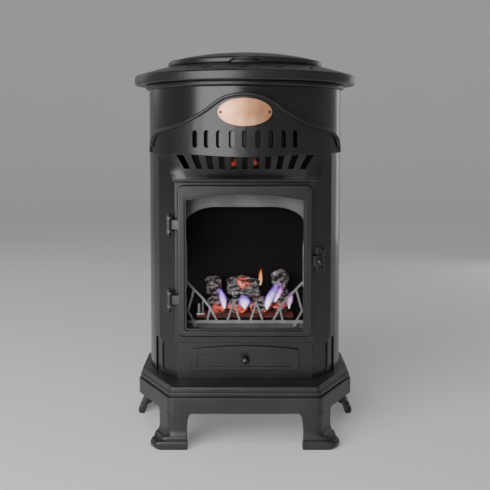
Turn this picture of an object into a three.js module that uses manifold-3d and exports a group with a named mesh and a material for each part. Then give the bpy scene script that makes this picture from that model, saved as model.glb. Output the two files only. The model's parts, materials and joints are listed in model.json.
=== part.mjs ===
// A potbelly-style cabinet stove: a round steel drum with a cast front, door and louvred hood,
// standing on an eight-sided cast base with four flared legs. Behind the glass lies a gas fire
// with a burner tray and ceramic coals. The rear of the drum is a bay for an upright gas bottle.
// Units are millimetres. +Z is up, the front faces -Y, and the origin is on the floor,
// under the middle of the drum. "Depth" below is the distance in front of the drum's axis.
import * as THREE from 'three';
import { mergeVertices } from 'three/addons/utils/BufferGeometryUtils.js';
import Module from 'manifold-3d';

const wasm = await Module();
wasm.setup();

// ---------------------------------------------------------------- driving dimensions

const seatGap = 0.3; // between pieces that rest on each other
const past = 5; // how far a cutter runs past the face that it cuts
const degree = Math.PI / 180;

const overallHeight = 780;

// base and legs
const legHeight = 70;
const bandHeight = 32;
const middleTierHeight = 10;
const topTierHeight = 9;
const tierStep = 6;
const grooveDepth = 2.5;
const grooveHeight = 2;
const baseFrontDepth = 208;
const baseRearDepth = -208;
const baseFrontHalf = 147.6;
const baseRearHalf = 130;
const baseSideHalf = 221.5;
const baseSideFront = 72;
const baseSideRear = -52;
const baseWall = 9;
const baseShelf = 9;
const baseShelfHeight = 6;
const baseRingHole = 195;
const baseFrontLedge = 20;
const baseCornerRound = 16;
const floorThickness = 2;
const legWall = 11;
const frontLegRun = 36.6;
const sideLegRun = 57;
const chamferLegRun = 50;
const frontLegFlare = 6.5;
const sideLegFlare = 11;
const frontToeFlare = 27; // outwards, along the base's chamfer
const rearToeFlare = 15;
const frontToeDraw = -20; // how much longer the foot is than the leg along the chamfer
const rearToeDraw = 4.5;

// drum
const drumRadius = 203;
const drumWall = 1.5;
const roundSegments = 64;
const topSegments = 48;

// front casting and drawer section
const wrapAngle = 65;
const wingAngle = 57.5; // where the wing's flat facet ends
const wingStand = 2.2; // how far that edge stands out past the round
const wingRound = 12;
const frontDepth = 150;
const castWall = 6;
const wrapStand = 1.2;
const drawerSectionHeight = 73;
const sectionRecess = 4;
const sectionWall = 5;
const sidePanelDepth = 1.8;
const openingHalf = 122;
const openingLap = 10; // how far the door laps over the opening, above and below

// door
const doorHalf = 132.7;
const doorFootGap = 15.9; // over the foot of the front casting
const doorTopGap = 4.8; // under the louvre
const doorBack = 150.4;
const doorThickness = 17.6;
const doorCorner = 12;
const doorEdge = 3;
const windowHalf = 115;
const windowFootBorder = 15.9;
const windowSideBorder = 30.4;
const windowCrownBorder = 18;
const windowChamfer = 4;
const glassLap = 4.5;
const glassThickness = 4;
const glassSet = 2.2;
const clipWidth = 10;
const clipLength = 90;
const clipThickness = 1.4;

// hinges
const hingeX = -149;
const hingeDepth = 165;
const hingeEye = 6;
const pinRadius = 2.8;
const pinClearance = 0.35;
const upperLugDrop = 77.4;
const lowerLugRise = 73.5;
const lugHeight = 18.6;
const earHeight = 6.5;
const earWidth = 7;
const pinBall = 4.2;

// latch
const latchX = 147;
const latchTabHeight = 21;
const latchTabThickness = 6;
const latchTabBack = 157;
const latchBall = 7.3;
const latchShaft = 3;
const keeperLeft = 138;
const keeperRight = 160;
const keeperBelow = 21.5;
const keeperAbove = 27.5;
const keeperFront = 155.5;
const keeperSlotHalf = 4.6;
const keeperSlotReach = 12.5;
const tongueReach = 9.5;
const tongueHalf = 2.6;
const tongueBack = 145.6;
const tongueFront = 148.4;
const screwHead = 4.4;
const screwShank = 1.7;

// hood and louvre
const louvreHalf = 142;
const louvreSplay = 0.27; // how much wider it is at its top, as a share of its foot
const louvreSplayPower = 6;
const louvreOverrun = 1.012; // before its ends are trimmed
const louvreHeight = 64;
const louvreLap = 7; // behind the hood's foot
const louvreRise = 7;
const louvreWall = 4.6;
const louvreSlots = 11;
const louvreSlotPitch = 22;
const louvreSlotWidth = 10.5;
const louvreSlotFoot = 27;
const louvreSlotHead = 10;
const passageInset = 8;
const hoodInner = drumRadius + 6.3;
const hoodOuter = drumRadius + 10;
const hoodBead = drumRadius + 12.5;
const hoodBeadWidth = 6.5;
const hoodTopDrop = 11.2;
const hoodFall = 124;
const hoodSideLift = 6;
const hoodFootHalf = 120;
const hoodFootBow = 1.5;
// the upper edge: degrees from the front, and drop as a share of the hood's fall
const hoodCurve = [
  [0, 0], [9.75, 0.051], [15.5, 0.143], [20.8, 0.255], [27.2, 0.359], [35, 0.455],
  [45.3, 0.528], [55.5, 0.595], [61.5, 0.694], [64.4, 0.806], [65, 0.936],
];
const hoodSlots = 9;
const hoodSlotPitch = 6.75;
const hoodSlotWidth = 10.3;
const hoodSlotDrop = 73;
const hoodSlotHeight = 33;
const plaqueHalfWidth = 51.5;
const plaqueHalfHeight = 26.5;
const plaqueDrop = 38.4;
const plaqueThickness = 2;
const plaqueRimWidth = 2.4;
const plaqueRimRise = 0.8;
const plaqueScrewInset = 5;

// top plate and lid
const collarRadius = drumRadius + 7;
const collarInner = drumRadius - 13;
const collarHeight = 9.8;
const rimRadius = 233;
const rimHeight = 19;
const annulusRise = 18;
const lidSeatRadius = rimRadius - 67;
const plateWall = 5;
const wellRadius = lidSeatRadius - 16;
const wellLedge = 7;
const wellDepth = 24;
const swirlSlots = 18;
const swirlAngle = 38;
const swirlLength = 34;
const swirlWidth = 7;
const swirlBend = 0.8; // its radius as a share of its length
const swirlInnerBend = 1.35;
const swirlInnerSweep = 0.72;
const lidRise = 31.1;
const lidRadius = lidSeatRadius - 3;
const lidEdgeHeight = 12;
const lidWall = 4;
const lidFlange = 12;
const lidCurve = 2.2; // how round the dome is
const notchHalf = 32;
const notchHeight = 9.4;
const notchDepth = 10;
const lidHingeDepth = -lidRadius - 7;
const lidAxisRise = 7;
const lidLugWidth = 20;
const lidEarWidth = 4;
const lidPinRadius = 2.5;
const lidEyeRadius = 5;

// firebox
const linerHalf = 128;
const linerBack = 72;
const linerFront = 143.4;
const linerSink = 8; // under the opening in the casting
const linerTopDrop = 2;
const sheetWall = 1.5;
const surroundDepth = 122;
const surroundWall = 3;
const surroundOpeningHalf = 119;
const surroundSillRise = 22;
const surroundCrownDrop = 34;
const surroundShoulder = 34;
const surroundCornerRun = 62;
const fretBack = 127.5;
const fretThick = 4;
const fretBar = 4;
const fretHalf = 118;
const fretHeight = 78.5;
// its bars on one side, as shares of its half width and its height over the sill
const fretRuns = [
  [[0.983, 1], [0.861, 0.808], [0.725, 0.59], [0.605, 0.359], [0.469, -0.025]],
  [[0.873, 0.79], [0.972, 0.255], [0.869, -0.025]],
  [[0.597, 0.306], [0.648, -0.025]],
  [[0.307, -0.025], [0.192, 0.484], [0.085, -0.025]],
];
const partitionDepth = 54;
const partitionDrop = 61.2;
const burnerHalf = 98;
const burnerBack = 78;
const burnerFront = 119;
const burnerHeight = 24;
const emberThickness = 5;
const coalDepth = 98;

// gas controls under the lid
const panelThickness = 2;
const knobX = 62;
const knobDepth = 40;
const knobRadius = 17;
const knobHeight = 16;
const spindleRadius = 3;
const spindleTravel = 4;
const buttonX = 0;
const buttonDepth = 75;
const buttonRadius = 6;
const buttonTravel = 5;
const valveHalf = 16;
const valveHeight = 26;
const pipeRadius = 4;
const pipeDepth = 63;
const outletDrop = 9;
const outletBoss = 7;

// drawer
const drawerPanelHalf = 107;
const drawerPanelFoot = 17.7;
const drawerPanelSideDrop = 12.5;
const drawerPanelCrownDrop = 5.3;
const drawerPanelThickness = 5;
const drawerPanelBorder = 11;
const drawerRecessDepth = 2.5;
const drawerHalf = 96;
const drawerHeight = 34;
const drawerLength = 76;
const drawerWall = 1.5;
const drawerKnobBall = 8;
const drawerKnobRise = 23.6;
const drawerOpeningMargin = 5;
const runnerWidth = 10;

// rear panel
const rearAngle = 47;
const rearFoot = 13;
const rearDrop = 81.2;
const rearWall = 1.2;
const rearLap = 3;
const rearVentRows = 5;
const rearVentColumns = [-62, 62];
const rearVentHalf = 24;
const rearVentHeight = 6;
const rearVentPitch = 15;
const rearVentInset = 24;

// ---------------------------------------------------------------- levels worked out from them

const bandTop = legHeight + bandHeight;
const middleTierTop = bandTop + middleTierHeight;
const baseTop = middleTierTop + topTierHeight;
const sectionBottom = baseTop + seatGap;
const sectionTop = sectionBottom + drawerSectionHeight;
const castingBottom = sectionTop + seatGap;
const lidBottom = overallHeight - lidRise;
const lidEdgeTop = lidBottom + lidEdgeHeight;
const annulusTop = lidBottom - seatGap;
const rimTop = annulusTop - annulusRise;
const rimBottom = rimTop - rimHeight;
const collarTop = rimBottom - seatGap;
const collarBottom = collarTop - collarHeight;
const drumTop = collarBottom - seatGap;
const hoodTop = drumTop - hoodTopDrop;
const hoodBottomMiddle = hoodTop - hoodFall;
const hoodBottomSide = hoodBottomMiddle + hoodSideLift;
const hoodSlotTop = hoodTop - hoodSlotDrop;
const hoodSlotBottom = hoodSlotTop - hoodSlotHeight;
const plaqueMiddle = hoodTop - plaqueDrop;
const louvreTop = hoodBottomSide + louvreLap;
const louvreBottom = louvreTop - louvreHeight;
const doorBottom = castingBottom + doorFootGap;
const doorTop = louvreBottom - doorTopGap;
const doorFront = doorBack + doorThickness;
const openingBottom = doorBottom + openingLap;
const openingTop = doorTop - openingLap;
const windowBottom = doorBottom + windowFootBorder;
const windowSideTop = doorTop - windowSideBorder;
const windowCrown = doorTop - windowCrownBorder;
const upperLugMiddle = doorTop - upperLugDrop;
const lowerLugMiddle = doorBottom + lowerLugRise;
const latchZ = (doorBottom + doorTop) / 2;
const glassBack = doorBack + glassSet;
const wrapRadius = drumRadius + wrapStand;
const flatHalf = Math.sqrt(wrapRadius ** 2 - frontDepth ** 2);
const linerBottom = openingBottom - linerSink;
const linerTop = openingTop - linerTopDrop;
const surroundSill = linerBottom + surroundSillRise;
const surroundCrown = linerTop - surroundCrownDrop;
const partitionTop = drumTop - partitionDrop;
const rearBottom = baseTop + rearFoot;
const rearTop = drumTop - rearDrop;
const drawerPanelBottom = sectionBottom + drawerPanelFoot;
const drawerPanelSideTop = sectionTop - drawerPanelSideDrop;
const drawerPanelCrown = sectionTop - drawerPanelCrownDrop;
const drawerKnobZ = drawerPanelBottom + drawerKnobRise;
const panelBottom = annulusTop - wellDepth + seatGap;
const panelTop = panelBottom + panelThickness;
const burnerBottom = linerBottom + sheetWall + seatGap;
const burnerTop = burnerBottom + burnerHeight;
const emberTop = burnerTop + seatGap + emberThickness;

// coals, each with the coals that it lies on; size, deep and tall are half of what it measures
const coalSpots = [
  { name: 'coal_left', x: -55, size: 23, deep: 15, tall: 23, seed: 0.4, rise: 0 },
  { name: 'coal_middle', x: -15, size: 24, deep: 15, tall: 19, seed: 1.7, rise: 0, on: ['coal_left'] },
  { name: 'coal_right', x: 32, size: 24, deep: 15, tall: 19, seed: 2.6, rise: 0, on: ['coal_middle'] },
  { name: 'coal_far_right', x: 74, size: 20, deep: 14, tall: 30, seed: 3.3, rise: 0, on: ['coal_right'] },
  { name: 'coal_top_left', x: -64, size: 19, deep: 13, tall: 24, seed: 4.1, rise: 36, on: ['coal_left'] },
  {
    name: 'coal_top_right', x: -3, size: 37, deep: 16, tall: 25, seed: 5.2, rise: 35,
    on: ['coal_left', 'coal_middle', 'coal_right', 'coal_top_left'],
  },
  {
    name: 'coal_top_far_right', x: 71, size: 20, deep: 13, tall: 20, seed: 6, rise: 57,
    on: ['coal_far_right', 'coal_top_right'],
  },
];

// ---------------------------------------------------------------- solids

// A closed three.js geometry as a solid that can be joined and cut.
function solid(geometry) {
  geometry.deleteAttribute('normal');
  geometry.deleteAttribute('uv');
  const merged = mergeVertices(geometry, 1e-4);
  const spots = merged.attributes.position.array;
  const corners = merged.index.array;
  const a = new THREE.Vector3();
  const b = new THREE.Vector3();
  const c = new THREE.Vector3();
  const faces = [];
  let volume = 0;
  for (let i = 0; i < corners.length; i += 3) {
    const [p, q, r] = [corners[i], corners[i + 1], corners[i + 2]];
    if (p === q || q === r || r === p) continue;
    faces.push([p, q, r]);
    volume += a.fromArray(spots, 3 * p).dot(b.fromArray(spots, 3 * q).cross(c.fromArray(spots, 3 * r)));
  }
  const outward = volume < 0 ? faces.map(([p, q, r]) => [p, r, q]) : faces;
  return new wasm.Manifold(new wasm.Mesh({
    numProp: 3,
    vertProperties: new Float32Array(spots),
    triVerts: new Uint32Array(outward.flat()),
  }));
}

function joined(solids) {
  return solids.reduce((whole, next) => whole.add(next));
}

function cut(whole, cutters) {
  return cutters.reduce((left, next) => left.subtract(next), whole);
}

function outline(points) {
  return new THREE.Shape(points.map(([x, y]) => new THREE.Vector2(x, y)));
}

// An outline in X and Z, with its thickness from one depth to another.
function upright(shape, back, front, edge = 0, curveSegments = 4) {
  const geometry = new THREE.ExtrudeGeometry(shape, {
    depth: front - back - 2 * edge,
    bevelEnabled: edge > 0,
    bevelThickness: edge,
    bevelSize: edge,
    bevelOffset: -edge,
    bevelSegments: 2,
    curveSegments,
  });
  geometry.translate(0, 0, back + edge);
  geometry.rotateX(Math.PI / 2);
  return solid(geometry);
}

// An outline in X and depth, standing from one level to another.
function level(points, bottom, top) {
  const shape = outline(points.map(([x, depth]) => [x, -depth]));
  const geometry = new THREE.ExtrudeGeometry(shape, { depth: top - bottom, bevelEnabled: false });
  geometry.translate(0, 0, bottom);
  return solid(geometry);
}

// A profile of radius and height, turned about a vertical axis.
function turned(profile, segments = roundSegments) {
  const spots = profile.map(([radius, height]) => new THREE.Vector2(radius, height));
  const geometry = new THREE.LatheGeometry(spots, segments);
  geometry.rotateX(Math.PI / 2);
  return solid(geometry);
}

function ring(inner, outer, bottom, top, segments = roundSegments) {
  return turned([[inner, bottom], [outer, bottom], [outer, top], [inner, top], [inner, bottom]], segments);
}

function disc(radius, bottom, top, segments = roundSegments) {
  return turned([[0, bottom], [radius, bottom], [radius, top], [0, top]], segments);
}

function block(left, right, back, front, bottom, top) {
  const geometry = new THREE.BoxGeometry(right - left, front - back, top - bottom);
  geometry.translate((left + right) / 2, -(back + front) / 2, (bottom + top) / 2);
  return solid(geometry);
}

// A straight round bar between two places, given as X, depth and Z.
function bar(radius, from, to, sides = 12) {
  const start = new THREE.Vector3(from[0], -from[1], from[2]);
  const end = new THREE.Vector3(to[0], -to[1], to[2]);
  const run = end.clone().sub(start);
  const geometry = new THREE.CylinderGeometry(radius, radius, run.length(), sides);
  const upwards = new THREE.Vector3(0, 1, 0);
  geometry.applyQuaternion(new THREE.Quaternion().setFromUnitVectors(upwards, run.clone().normalize()));
  geometry.translate(...start.add(end).multiplyScalar(0.5).toArray());
  return solid(geometry);
}

function ball(radius, x, depth, z, sides = 12) {
  const geometry = new THREE.SphereGeometry(radius, sides, sides / 2);
  geometry.translate(x, -depth, z);
  return solid(geometry);
}

// A body lofted through rings of points, each a list of X, depth and Z. The two end caps are
// triangulated in the plane that flatten gives.
function lofted(rings, flatten = ([x, depth]) => [x, depth]) {
  const count = rings[0].length;
  const last = (rings.length - 1) * count;
  const contour = rings[0].map((spot) => new THREE.Vector2(...flatten(spot)));
  const way = Math.sign(THREE.ShapeUtils.area(contour));
  const cap = THREE.ShapeUtils.triangulateShape(contour, []).map(([p, q, r]) => {
    const same = Math.sign(THREE.ShapeUtils.area([contour[p], contour[q], contour[r]])) === way;
    return same ? [p, q, r] : [p, r, q];
  });
  const faces = cap.flat();
  cap.forEach(([p, q, r]) => faces.push(last + p, last + r, last + q));
  for (let lower = 0; lower < last; lower += count) {
    for (let i = 0; i < count; i += 1) {
      const next = (i + 1) % count;
      faces.push(lower + i, lower + count + i, lower + next);
      faces.push(lower + next, lower + count + i, lower + count + next);
    }
  }
  const geometry = new THREE.BufferGeometry();
  const spots = rings.flat().flatMap(([x, depth, z]) => [x, -depth, z]);
  geometry.setAttribute('position', new THREE.Float32BufferAttribute(spots, 3));
  geometry.setIndex(faces);
  return solid(geometry);
}

// ---------------------------------------------------------------- outlines

function roundedRectangle(left, right, bottom, top, radius) {
  const shape = new THREE.Shape();
  shape.moveTo(left + radius, bottom);
  shape.lineTo(right - radius, bottom);
  shape.absarc(right - radius, bottom + radius, radius, -Math.PI / 2, 0);
  shape.lineTo(right, top - radius);
  shape.absarc(right - radius, top - radius, radius, 0, Math.PI / 2);
  shape.lineTo(left + radius, top);
  shape.absarc(left + radius, top - radius, radius, Math.PI / 2, Math.PI);
  shape.lineTo(left, bottom + radius);
  shape.absarc(left + radius, bottom + radius, radius, Math.PI, 1.5 * Math.PI);
  return shape;
}

// A frame opening with straight sides, a flat foot and a low arch over it.
function archedOpening(half, bottom, sideTop, crown, radius = 5) {
  const rise = crown - sideTop;
  const arc = (half ** 2 + rise ** 2) / (2 * rise);
  const sweep = Math.asin(half / arc);
  const shape = new THREE.Shape();
  shape.moveTo(-half + radius, bottom);
  shape.lineTo(half - radius, bottom);
  shape.absarc(half - radius, bottom + radius, radius, -Math.PI / 2, 0);
  shape.lineTo(half, sideTop);
  shape.absarc(0, crown - arc, arc, Math.PI / 2 - sweep, Math.PI / 2 + sweep);
  shape.lineTo(-half, bottom + radius);
  shape.absarc(-half + radius, bottom + radius, radius, Math.PI, 1.5 * Math.PI);
  return shape;
}

// An opening with a flat foot and crown, joined to its sides by quarter ellipses.
function shoulderedOpening(half, bottom, crown, run, fall) {
  const shape = new THREE.Shape();
  shape.moveTo(-half, bottom);
  shape.lineTo(half, bottom);
  shape.absellipse(half - run, crown - fall, run, fall, 0, Math.PI / 2);
  shape.absellipse(run - half, crown - fall, run, fall, Math.PI / 2, Math.PI);
  return shape;
}

function obround(x, bottom, top, width) {
  const half = width / 2;
  const shape = new THREE.Shape();
  shape.absarc(x, top - half, half, 0, Math.PI);
  shape.absarc(x, bottom + half, half, Math.PI, 2 * Math.PI);
  return shape;
}

// The base's eight-sided plan, moved inwards on every side.
function basePlan(inset) {
  const corners = [
    [baseFrontHalf, baseFrontDepth],
    [baseSideHalf, baseSideFront],
    [baseSideHalf, baseSideRear],
    [baseRearHalf, baseRearDepth],
    [-baseRearHalf, baseRearDepth],
    [-baseSideHalf, baseSideRear],
    [-baseSideHalf, baseSideFront],
    [-baseFrontHalf, baseFrontDepth],
  ];
  const around = (list, i) => list[(i + list.length) % list.length];
  const drawn = corners.map((corner, i) => {
    const first = inward(around(corners, i - 1), corner);
    const second = inward(corner, around(corners, i + 1));
    const share = inset / (1 + first[0] * second[0] + first[1] * second[1]);
    return [corner[0] + (first[0] + second[0]) * share, corner[1] + (first[1] + second[1]) * share];
  });
  const radius = Math.max(baseCornerRound - inset, 1);
  return drawn.flatMap((corner, i) => (
    roundedCorner(around(drawn, i - 1), corner, around(drawn, i + 1), radius)
  ));
}

// The points of an arc that takes off the corner between two straight sides.
function roundedCorner(before, corner, after, radius, steps = 3) {
  const towards = ([x, depth]) => {
    const length = Math.hypot(x - corner[0], depth - corner[1]);
    return [(x - corner[0]) / length, (depth - corner[1]) / length];
  };
  const first = towards(before);
  const second = towards(after);
  const half = Math.acos(first[0] * second[0] + first[1] * second[1]) / 2;
  const turn = Math.PI - 2 * half;
  const run = radius / Math.tan(half);
  const centre = [0, 1].map((k) => corner[k] + ((first[k] + second[k]) * run) / (1 + Math.cos(2 * half)));
  return Array.from({ length: steps + 1 }, (_, i) => {
    const share = i / steps;
    const one = Math.sin((1 - share) * turn) / Math.sin(turn);
    const other = Math.sin(share * turn) / Math.sin(turn);
    return [0, 1].map((k) => centre[k]
      + (corner[k] + first[k] * run - centre[k]) * one
      + (corner[k] + second[k] * run - centre[k]) * other);
  });
}

// The unit direction from one side of the base's plan towards its middle.
function inward([x0, d0], [x1, d1]) {
  const length = Math.hypot(x1 - x0, d1 - d0);
  return [(d1 - d0) / length, -(x1 - x0) / length];
}

// The front's plan: a flat face between two wings, each a flat facet with a rounded outer edge.
function frontPlan(radius, depth, inset) {
  const outer = radius - inset;
  const face = depth - inset;
  const spot = (angle, reach) => [reach * Math.sin(angle * degree), reach * Math.cos(angle * degree)];
  const front = [Math.sqrt(outer ** 2 - face ** 2), face];
  const side = spot(wrapAngle, outer);
  const points = [side, ...roundedCorner(side, spot(wingAngle, outer + wingStand), front, wingRound), front];
  const mirrored = points.map(([x, d]) => [-x, d]).reverse();
  return [...points, ...mirrored];
}

// The hood's upper edge, as its angle from the front and its height.
function hoodEdge() {
  const curve = new THREE.CatmullRomCurve3(hoodCurve.map(([angle, drop]) => (
    new THREE.Vector3(angle, hoodTop - drop * hoodFall, 0)
  )));
  return curve.getPoints(20).map((spot) => [spot.x, spot.y]);
}

function hoodOutline(inset) {
  const half = hoodEdge().map(([angle, z]) => {
    const x = hoodOuter * Math.sin(angle * degree);
    return new THREE.Vector2(x, z);
  });
  const inner = half.map((spot, i) => {
    const before = half[Math.max(i - 1, 0)];
    const after = half[Math.min(i + 1, half.length - 1)];
    const along = after.clone().sub(before).normalize();
    return [Math.max(spot.x + along.y * inset, 0), spot.y - along.x * inset];
  });
  const right = inner.filter(([, z]) => z > hoodBottomSide);
  const left = right.slice(1).map(([x, z]) => [-x, z]).reverse();
  const foot = [];
  const [edge] = right[right.length - 1];
  const steps = 12;
  for (let i = 0; i <= steps; i += 1) {
    const x = edge - (2 * edge * i) / steps;
    const share = Math.min(Math.abs(x) / hoodFootHalf, 1);
    foot.push([x, hoodBottomMiddle + hoodSideLift * share ** hoodFootBow]);
  }
  return outline([...right, ...foot, ...left]);
}

// ---------------------------------------------------------------- finishes

const blackIron = { color: 0x1c1c1e, roughness: 0.55, metalness: 0.6 };
const blackSteel = { color: 0x161618, roughness: 0.4, metalness: 0.5 };
const greyPlate = { color: 0x4a4a4c, roughness: 0.7, metalness: 0.4 };
const steelWork = { color: 0x77787a, roughness: 0.4, metalness: 0.9 };
const copperPlate = { color: 0xc98a66, roughness: 0.3, metalness: 0.9 };
const brassWork = { color: 0xb59a4e, roughness: 0.35, metalness: 0.9 };
const ceramicCoal = { color: 0x4a3a36, roughness: 0.95, metalness: 0 };
const emberRed = { color: 0x8a2a18, roughness: 0.9, metalness: 0 };
const darkPlastic = { color: 0x121212, roughness: 0.5, metalness: 0 };
const redPlastic = { color: 0xa01c18, roughness: 0.4, metalness: 0 };
const fireGlass = { color: 0x303438, roughness: 0.05, metalness: 0, transparent: true, opacity: 0.3 };

function part(name, body, finish) {
  const { vertProperties, triVerts } = body.getMesh();
  const geometry = new THREE.BufferGeometry();
  geometry.setAttribute('position', new THREE.BufferAttribute(vertProperties, 3));
  geometry.setIndex(new THREE.BufferAttribute(triVerts, 1));
  const mesh = new THREE.Mesh(geometry, new THREE.MeshStandardMaterial(finish));
  mesh.name = name;
  return mesh;
}

function group(...members) {
  const whole = new THREE.Group();
  whole.add(...members);
  return whole;
}

// ---------------------------------------------------------------- base and legs

function basePlinth() {
  const band = level(basePlan(0), legHeight, bandTop);
  const middleTier = level(basePlan(tierStep / 2), bandTop - 1, middleTierTop);
  const topTier = level(basePlan(tierStep), middleTierTop - 1, baseTop);
  const grooves = [bandTop, middleTierTop].map((z) => cut(
    level(basePlan(-past), z - grooveHeight / 2, z + grooveHeight / 2),
    [level(basePlan(tierStep / 2 + grooveDepth), z - past, z + past)],
  ));
  return cut(joined([band, middleTier, topTier]), [
    ...grooves,
    level(basePlan(baseWall), legHeight + baseShelfHeight, middleTierTop),
    level(basePlan(baseWall + baseShelf), legHeight - past, legHeight + past + baseShelfHeight),
    disc(baseRingHole, middleTierTop - past, baseTop + past).intersect(
      block(-drumRadius, drumRadius, -drumRadius, frontDepth - baseFrontLedge, 0, overallHeight),
    ),
  ]);
}

function floorPlate() {
  const bottom = legHeight + baseShelfHeight + seatGap;
  return level(basePlan(baseWall + seatGap), bottom, bottom + floorThickness);
}

// A leg that wraps a corner of the base: two facets, each with a flared foot.
function cornerLeg(corner, facet, facetRun, chamfer, facetFlare, toeFlare, toeDraw, side) {
  const facetOut = [facet[1] * -side, facet[0] * side];
  const chamferOut = [chamfer[1] * side, chamfer[0] * -side];
  const top = legHeight - seatGap;
  // level, flare of the facet, flare of the chamfer, how much the facet's free edge draws in
  const stations = [
    [top, 0, 0, -7], [top - 4, -0.5, -0.5, -2.5], [top - 11, -1, -1, 0], [37, -1.5, -1.5, 2],
    [30, -0.5, -0.5, 2], [26.5, 0.2, 0.16, 2], [25, 0.5, 0.42, 1.5], [19.5, 0.62, 0.56, 1.5],
    [18, 0.4, 0.5, 1.5], [16.5, 0.85, 0.86, 0.5], [12, 1, 1, 0], [4, 1, 0.95, 0], [0, 0.75, 0.78, 1.5],
  ];
  const rings = stations.map(([z, near, far, draw]) => {
    const facetShift = near > 0 ? near * facetFlare : near;
    const chamferShift = far > 0 ? far * toeFlare : far;
    const across = facetOut[0] * chamferOut[0] + facetOut[1] * chamferOut[1];
    const meet = (u, v) => {
      const lift = (v - u * across) / (1 - across ** 2);
      const base = (u - v * across) / (1 - across ** 2);
      return [
        corner[0] + facetOut[0] * base + chamferOut[0] * lift,
        corner[1] + facetOut[1] * base + chamferOut[1] * lift,
      ];
    };
    const along = (start, way, run) => [start[0] + way[0] * run, start[1] + way[1] * run];
    const facetSpot = along(corner, facetOut, facetShift);
    const chamferSpot = along(corner, chamferOut, chamferShift);
    const facetInner = along(corner, facetOut, facetShift - legWall);
    const chamferInner = along(corner, chamferOut, chamferShift - legWall);
    const chamferRun = chamferLegRun + (far > 0 ? far * toeDraw : 0);
    const facetEnd = along(facetSpot, facet, facetRun - draw);
    const chamferEnd = along(chamferSpot, chamfer, chamferRun);
    return [
      facetEnd,
      ...roundedCorner(facetEnd, meet(facetShift, chamferShift), chamferEnd, baseCornerRound),
      chamferEnd,
      along(chamferInner, chamfer, chamferRun),
      meet(facetShift - legWall, chamferShift - legWall),
      along(facetInner, facet, facetRun - draw),
    ].map(([x, depth]) => [x, depth, z]);
  });
  return lofted(rings);
}

function frontLeg(side) {
  const corner = [side * baseFrontHalf, baseFrontDepth];
  const run = Math.hypot(baseSideHalf - baseFrontHalf, baseFrontDepth - baseSideFront);
  const chamfer = [(side * (baseSideHalf - baseFrontHalf)) / run, (baseSideFront - baseFrontDepth) / run];
  const toe = [frontLegFlare, frontToeFlare, frontToeDraw];
  return cornerLeg(corner, [-side, 0], frontLegRun, chamfer, ...toe, -side);
}

function rearLeg(side) {
  const corner = [side * baseSideHalf, baseSideRear];
  const run = Math.hypot(baseSideHalf - baseRearHalf, baseSideRear - baseRearDepth);
  const chamfer = [(side * (baseRearHalf - baseSideHalf)) / run, (baseRearDepth - baseSideRear) / run];
  const toe = [sideLegFlare, rearToeFlare, rearToeDraw];
  return cornerLeg(corner, [0, 1], sideLegRun, chamfer, ...toe, -side);
}

// ---------------------------------------------------------------- drum and castings

function drumShell() {
  const wall = ring(drumRadius - drumWall, drumRadius, baseTop + seatGap, drumTop);
  const reach = drumRadius + past;
  const wedge = (angle, top) => {
    const half = reach * Math.tan(angle * degree);
    return level([[0, 0], [half, reach], [-half, reach]], 0, top);
  };
  const fronts = [wedge(wrapAngle, hoodBottomSide + seatGap), wedge(wrapAngle - 5, louvreTop + seatGap)];
  const rearHalf = (drumRadius - drumWall) * Math.sin(rearAngle * degree);
  const rear = block(-rearHalf, rearHalf, -reach, 0, rearBottom, rearTop);
  return cut(wall, [...fronts, rear]);
}

function drawerSection() {
  const radius = wrapRadius - sectionRecess;
  const depth = frontDepth - sectionRecess / 2;
  const shell = cut(level(frontPlan(radius, depth, 0), sectionBottom, sectionTop), [
    level(frontPlan(radius, depth, sectionWall), 0, overallHeight),
    block(-drumRadius, drumRadius, -drumRadius, drumRadius * Math.cos(wrapAngle * degree), 0, overallHeight),
  ]);
  const mouth = block(
    -drawerHalf - seatGap, drawerHalf + seatGap, 0, drumRadius,
    drawerBottom() - seatGap, drawerBottom() + drawerHeight + seatGap,
  );
  const skin = cut(level(frontPlan(radius, depth, -past), 0, overallHeight), [
    level(frontPlan(radius, depth, sidePanelDepth), 0, overallHeight),
  ]);
  const panels = [-1, 1].map((side) => sidePanel(side, radius).intersect(skin));
  return cut(shell, [mouth, ...panels]);
}

// The outline of the shallow recess in each of the drawer section's wings, as a block.
function sidePanel(side, radius) {
  const near = flatHalf + 1;
  const far = radius * Math.sin(wingAngle * degree) - 1.5;
  const [left, right] = side > 0 ? [near, far] : [-far, -near];
  const pane = roundedRectangle(left, right, sectionBottom + 9, sectionTop - 6, 7);
  return upright(pane, 0, drumRadius);
}

function drawerBottom() {
  return drawerPanelBottom + 6;
}

function frontCasting() {
  const shell = cut(level(frontPlan(wrapRadius, frontDepth, 0), castingBottom, hoodBottomSide), [
    level(frontPlan(wrapRadius, frontDepth, castWall), 0, overallHeight),
    block(-drumRadius, drumRadius, -drumRadius, drumRadius * Math.cos(wrapAngle * degree), 0, overallHeight),
  ]);
  const window = roundedRectangle(-openingHalf, openingHalf, openingBottom, openingTop, 8);
  const opening = upright(window, 0, drumRadius);
  return cut(shell, [opening, castingPassage(0)]);
}

// The way out for the hot air, through the top of the front casting to the louvre.
function castingPassage(inset) {
  const foot = louvreHalf - passageInset - inset;
  const head = louvreHalf * (1 + louvreSplay) - passageInset - inset;
  const bottom = louvreBottom + louvreRise + castWall + inset;
  return upright(outline([
    [-foot, bottom], [foot, bottom], [head, hoodBottomSide + past], [-head, hoodBottomSide + past],
  ]), 0, drumRadius + past);
}

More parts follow.
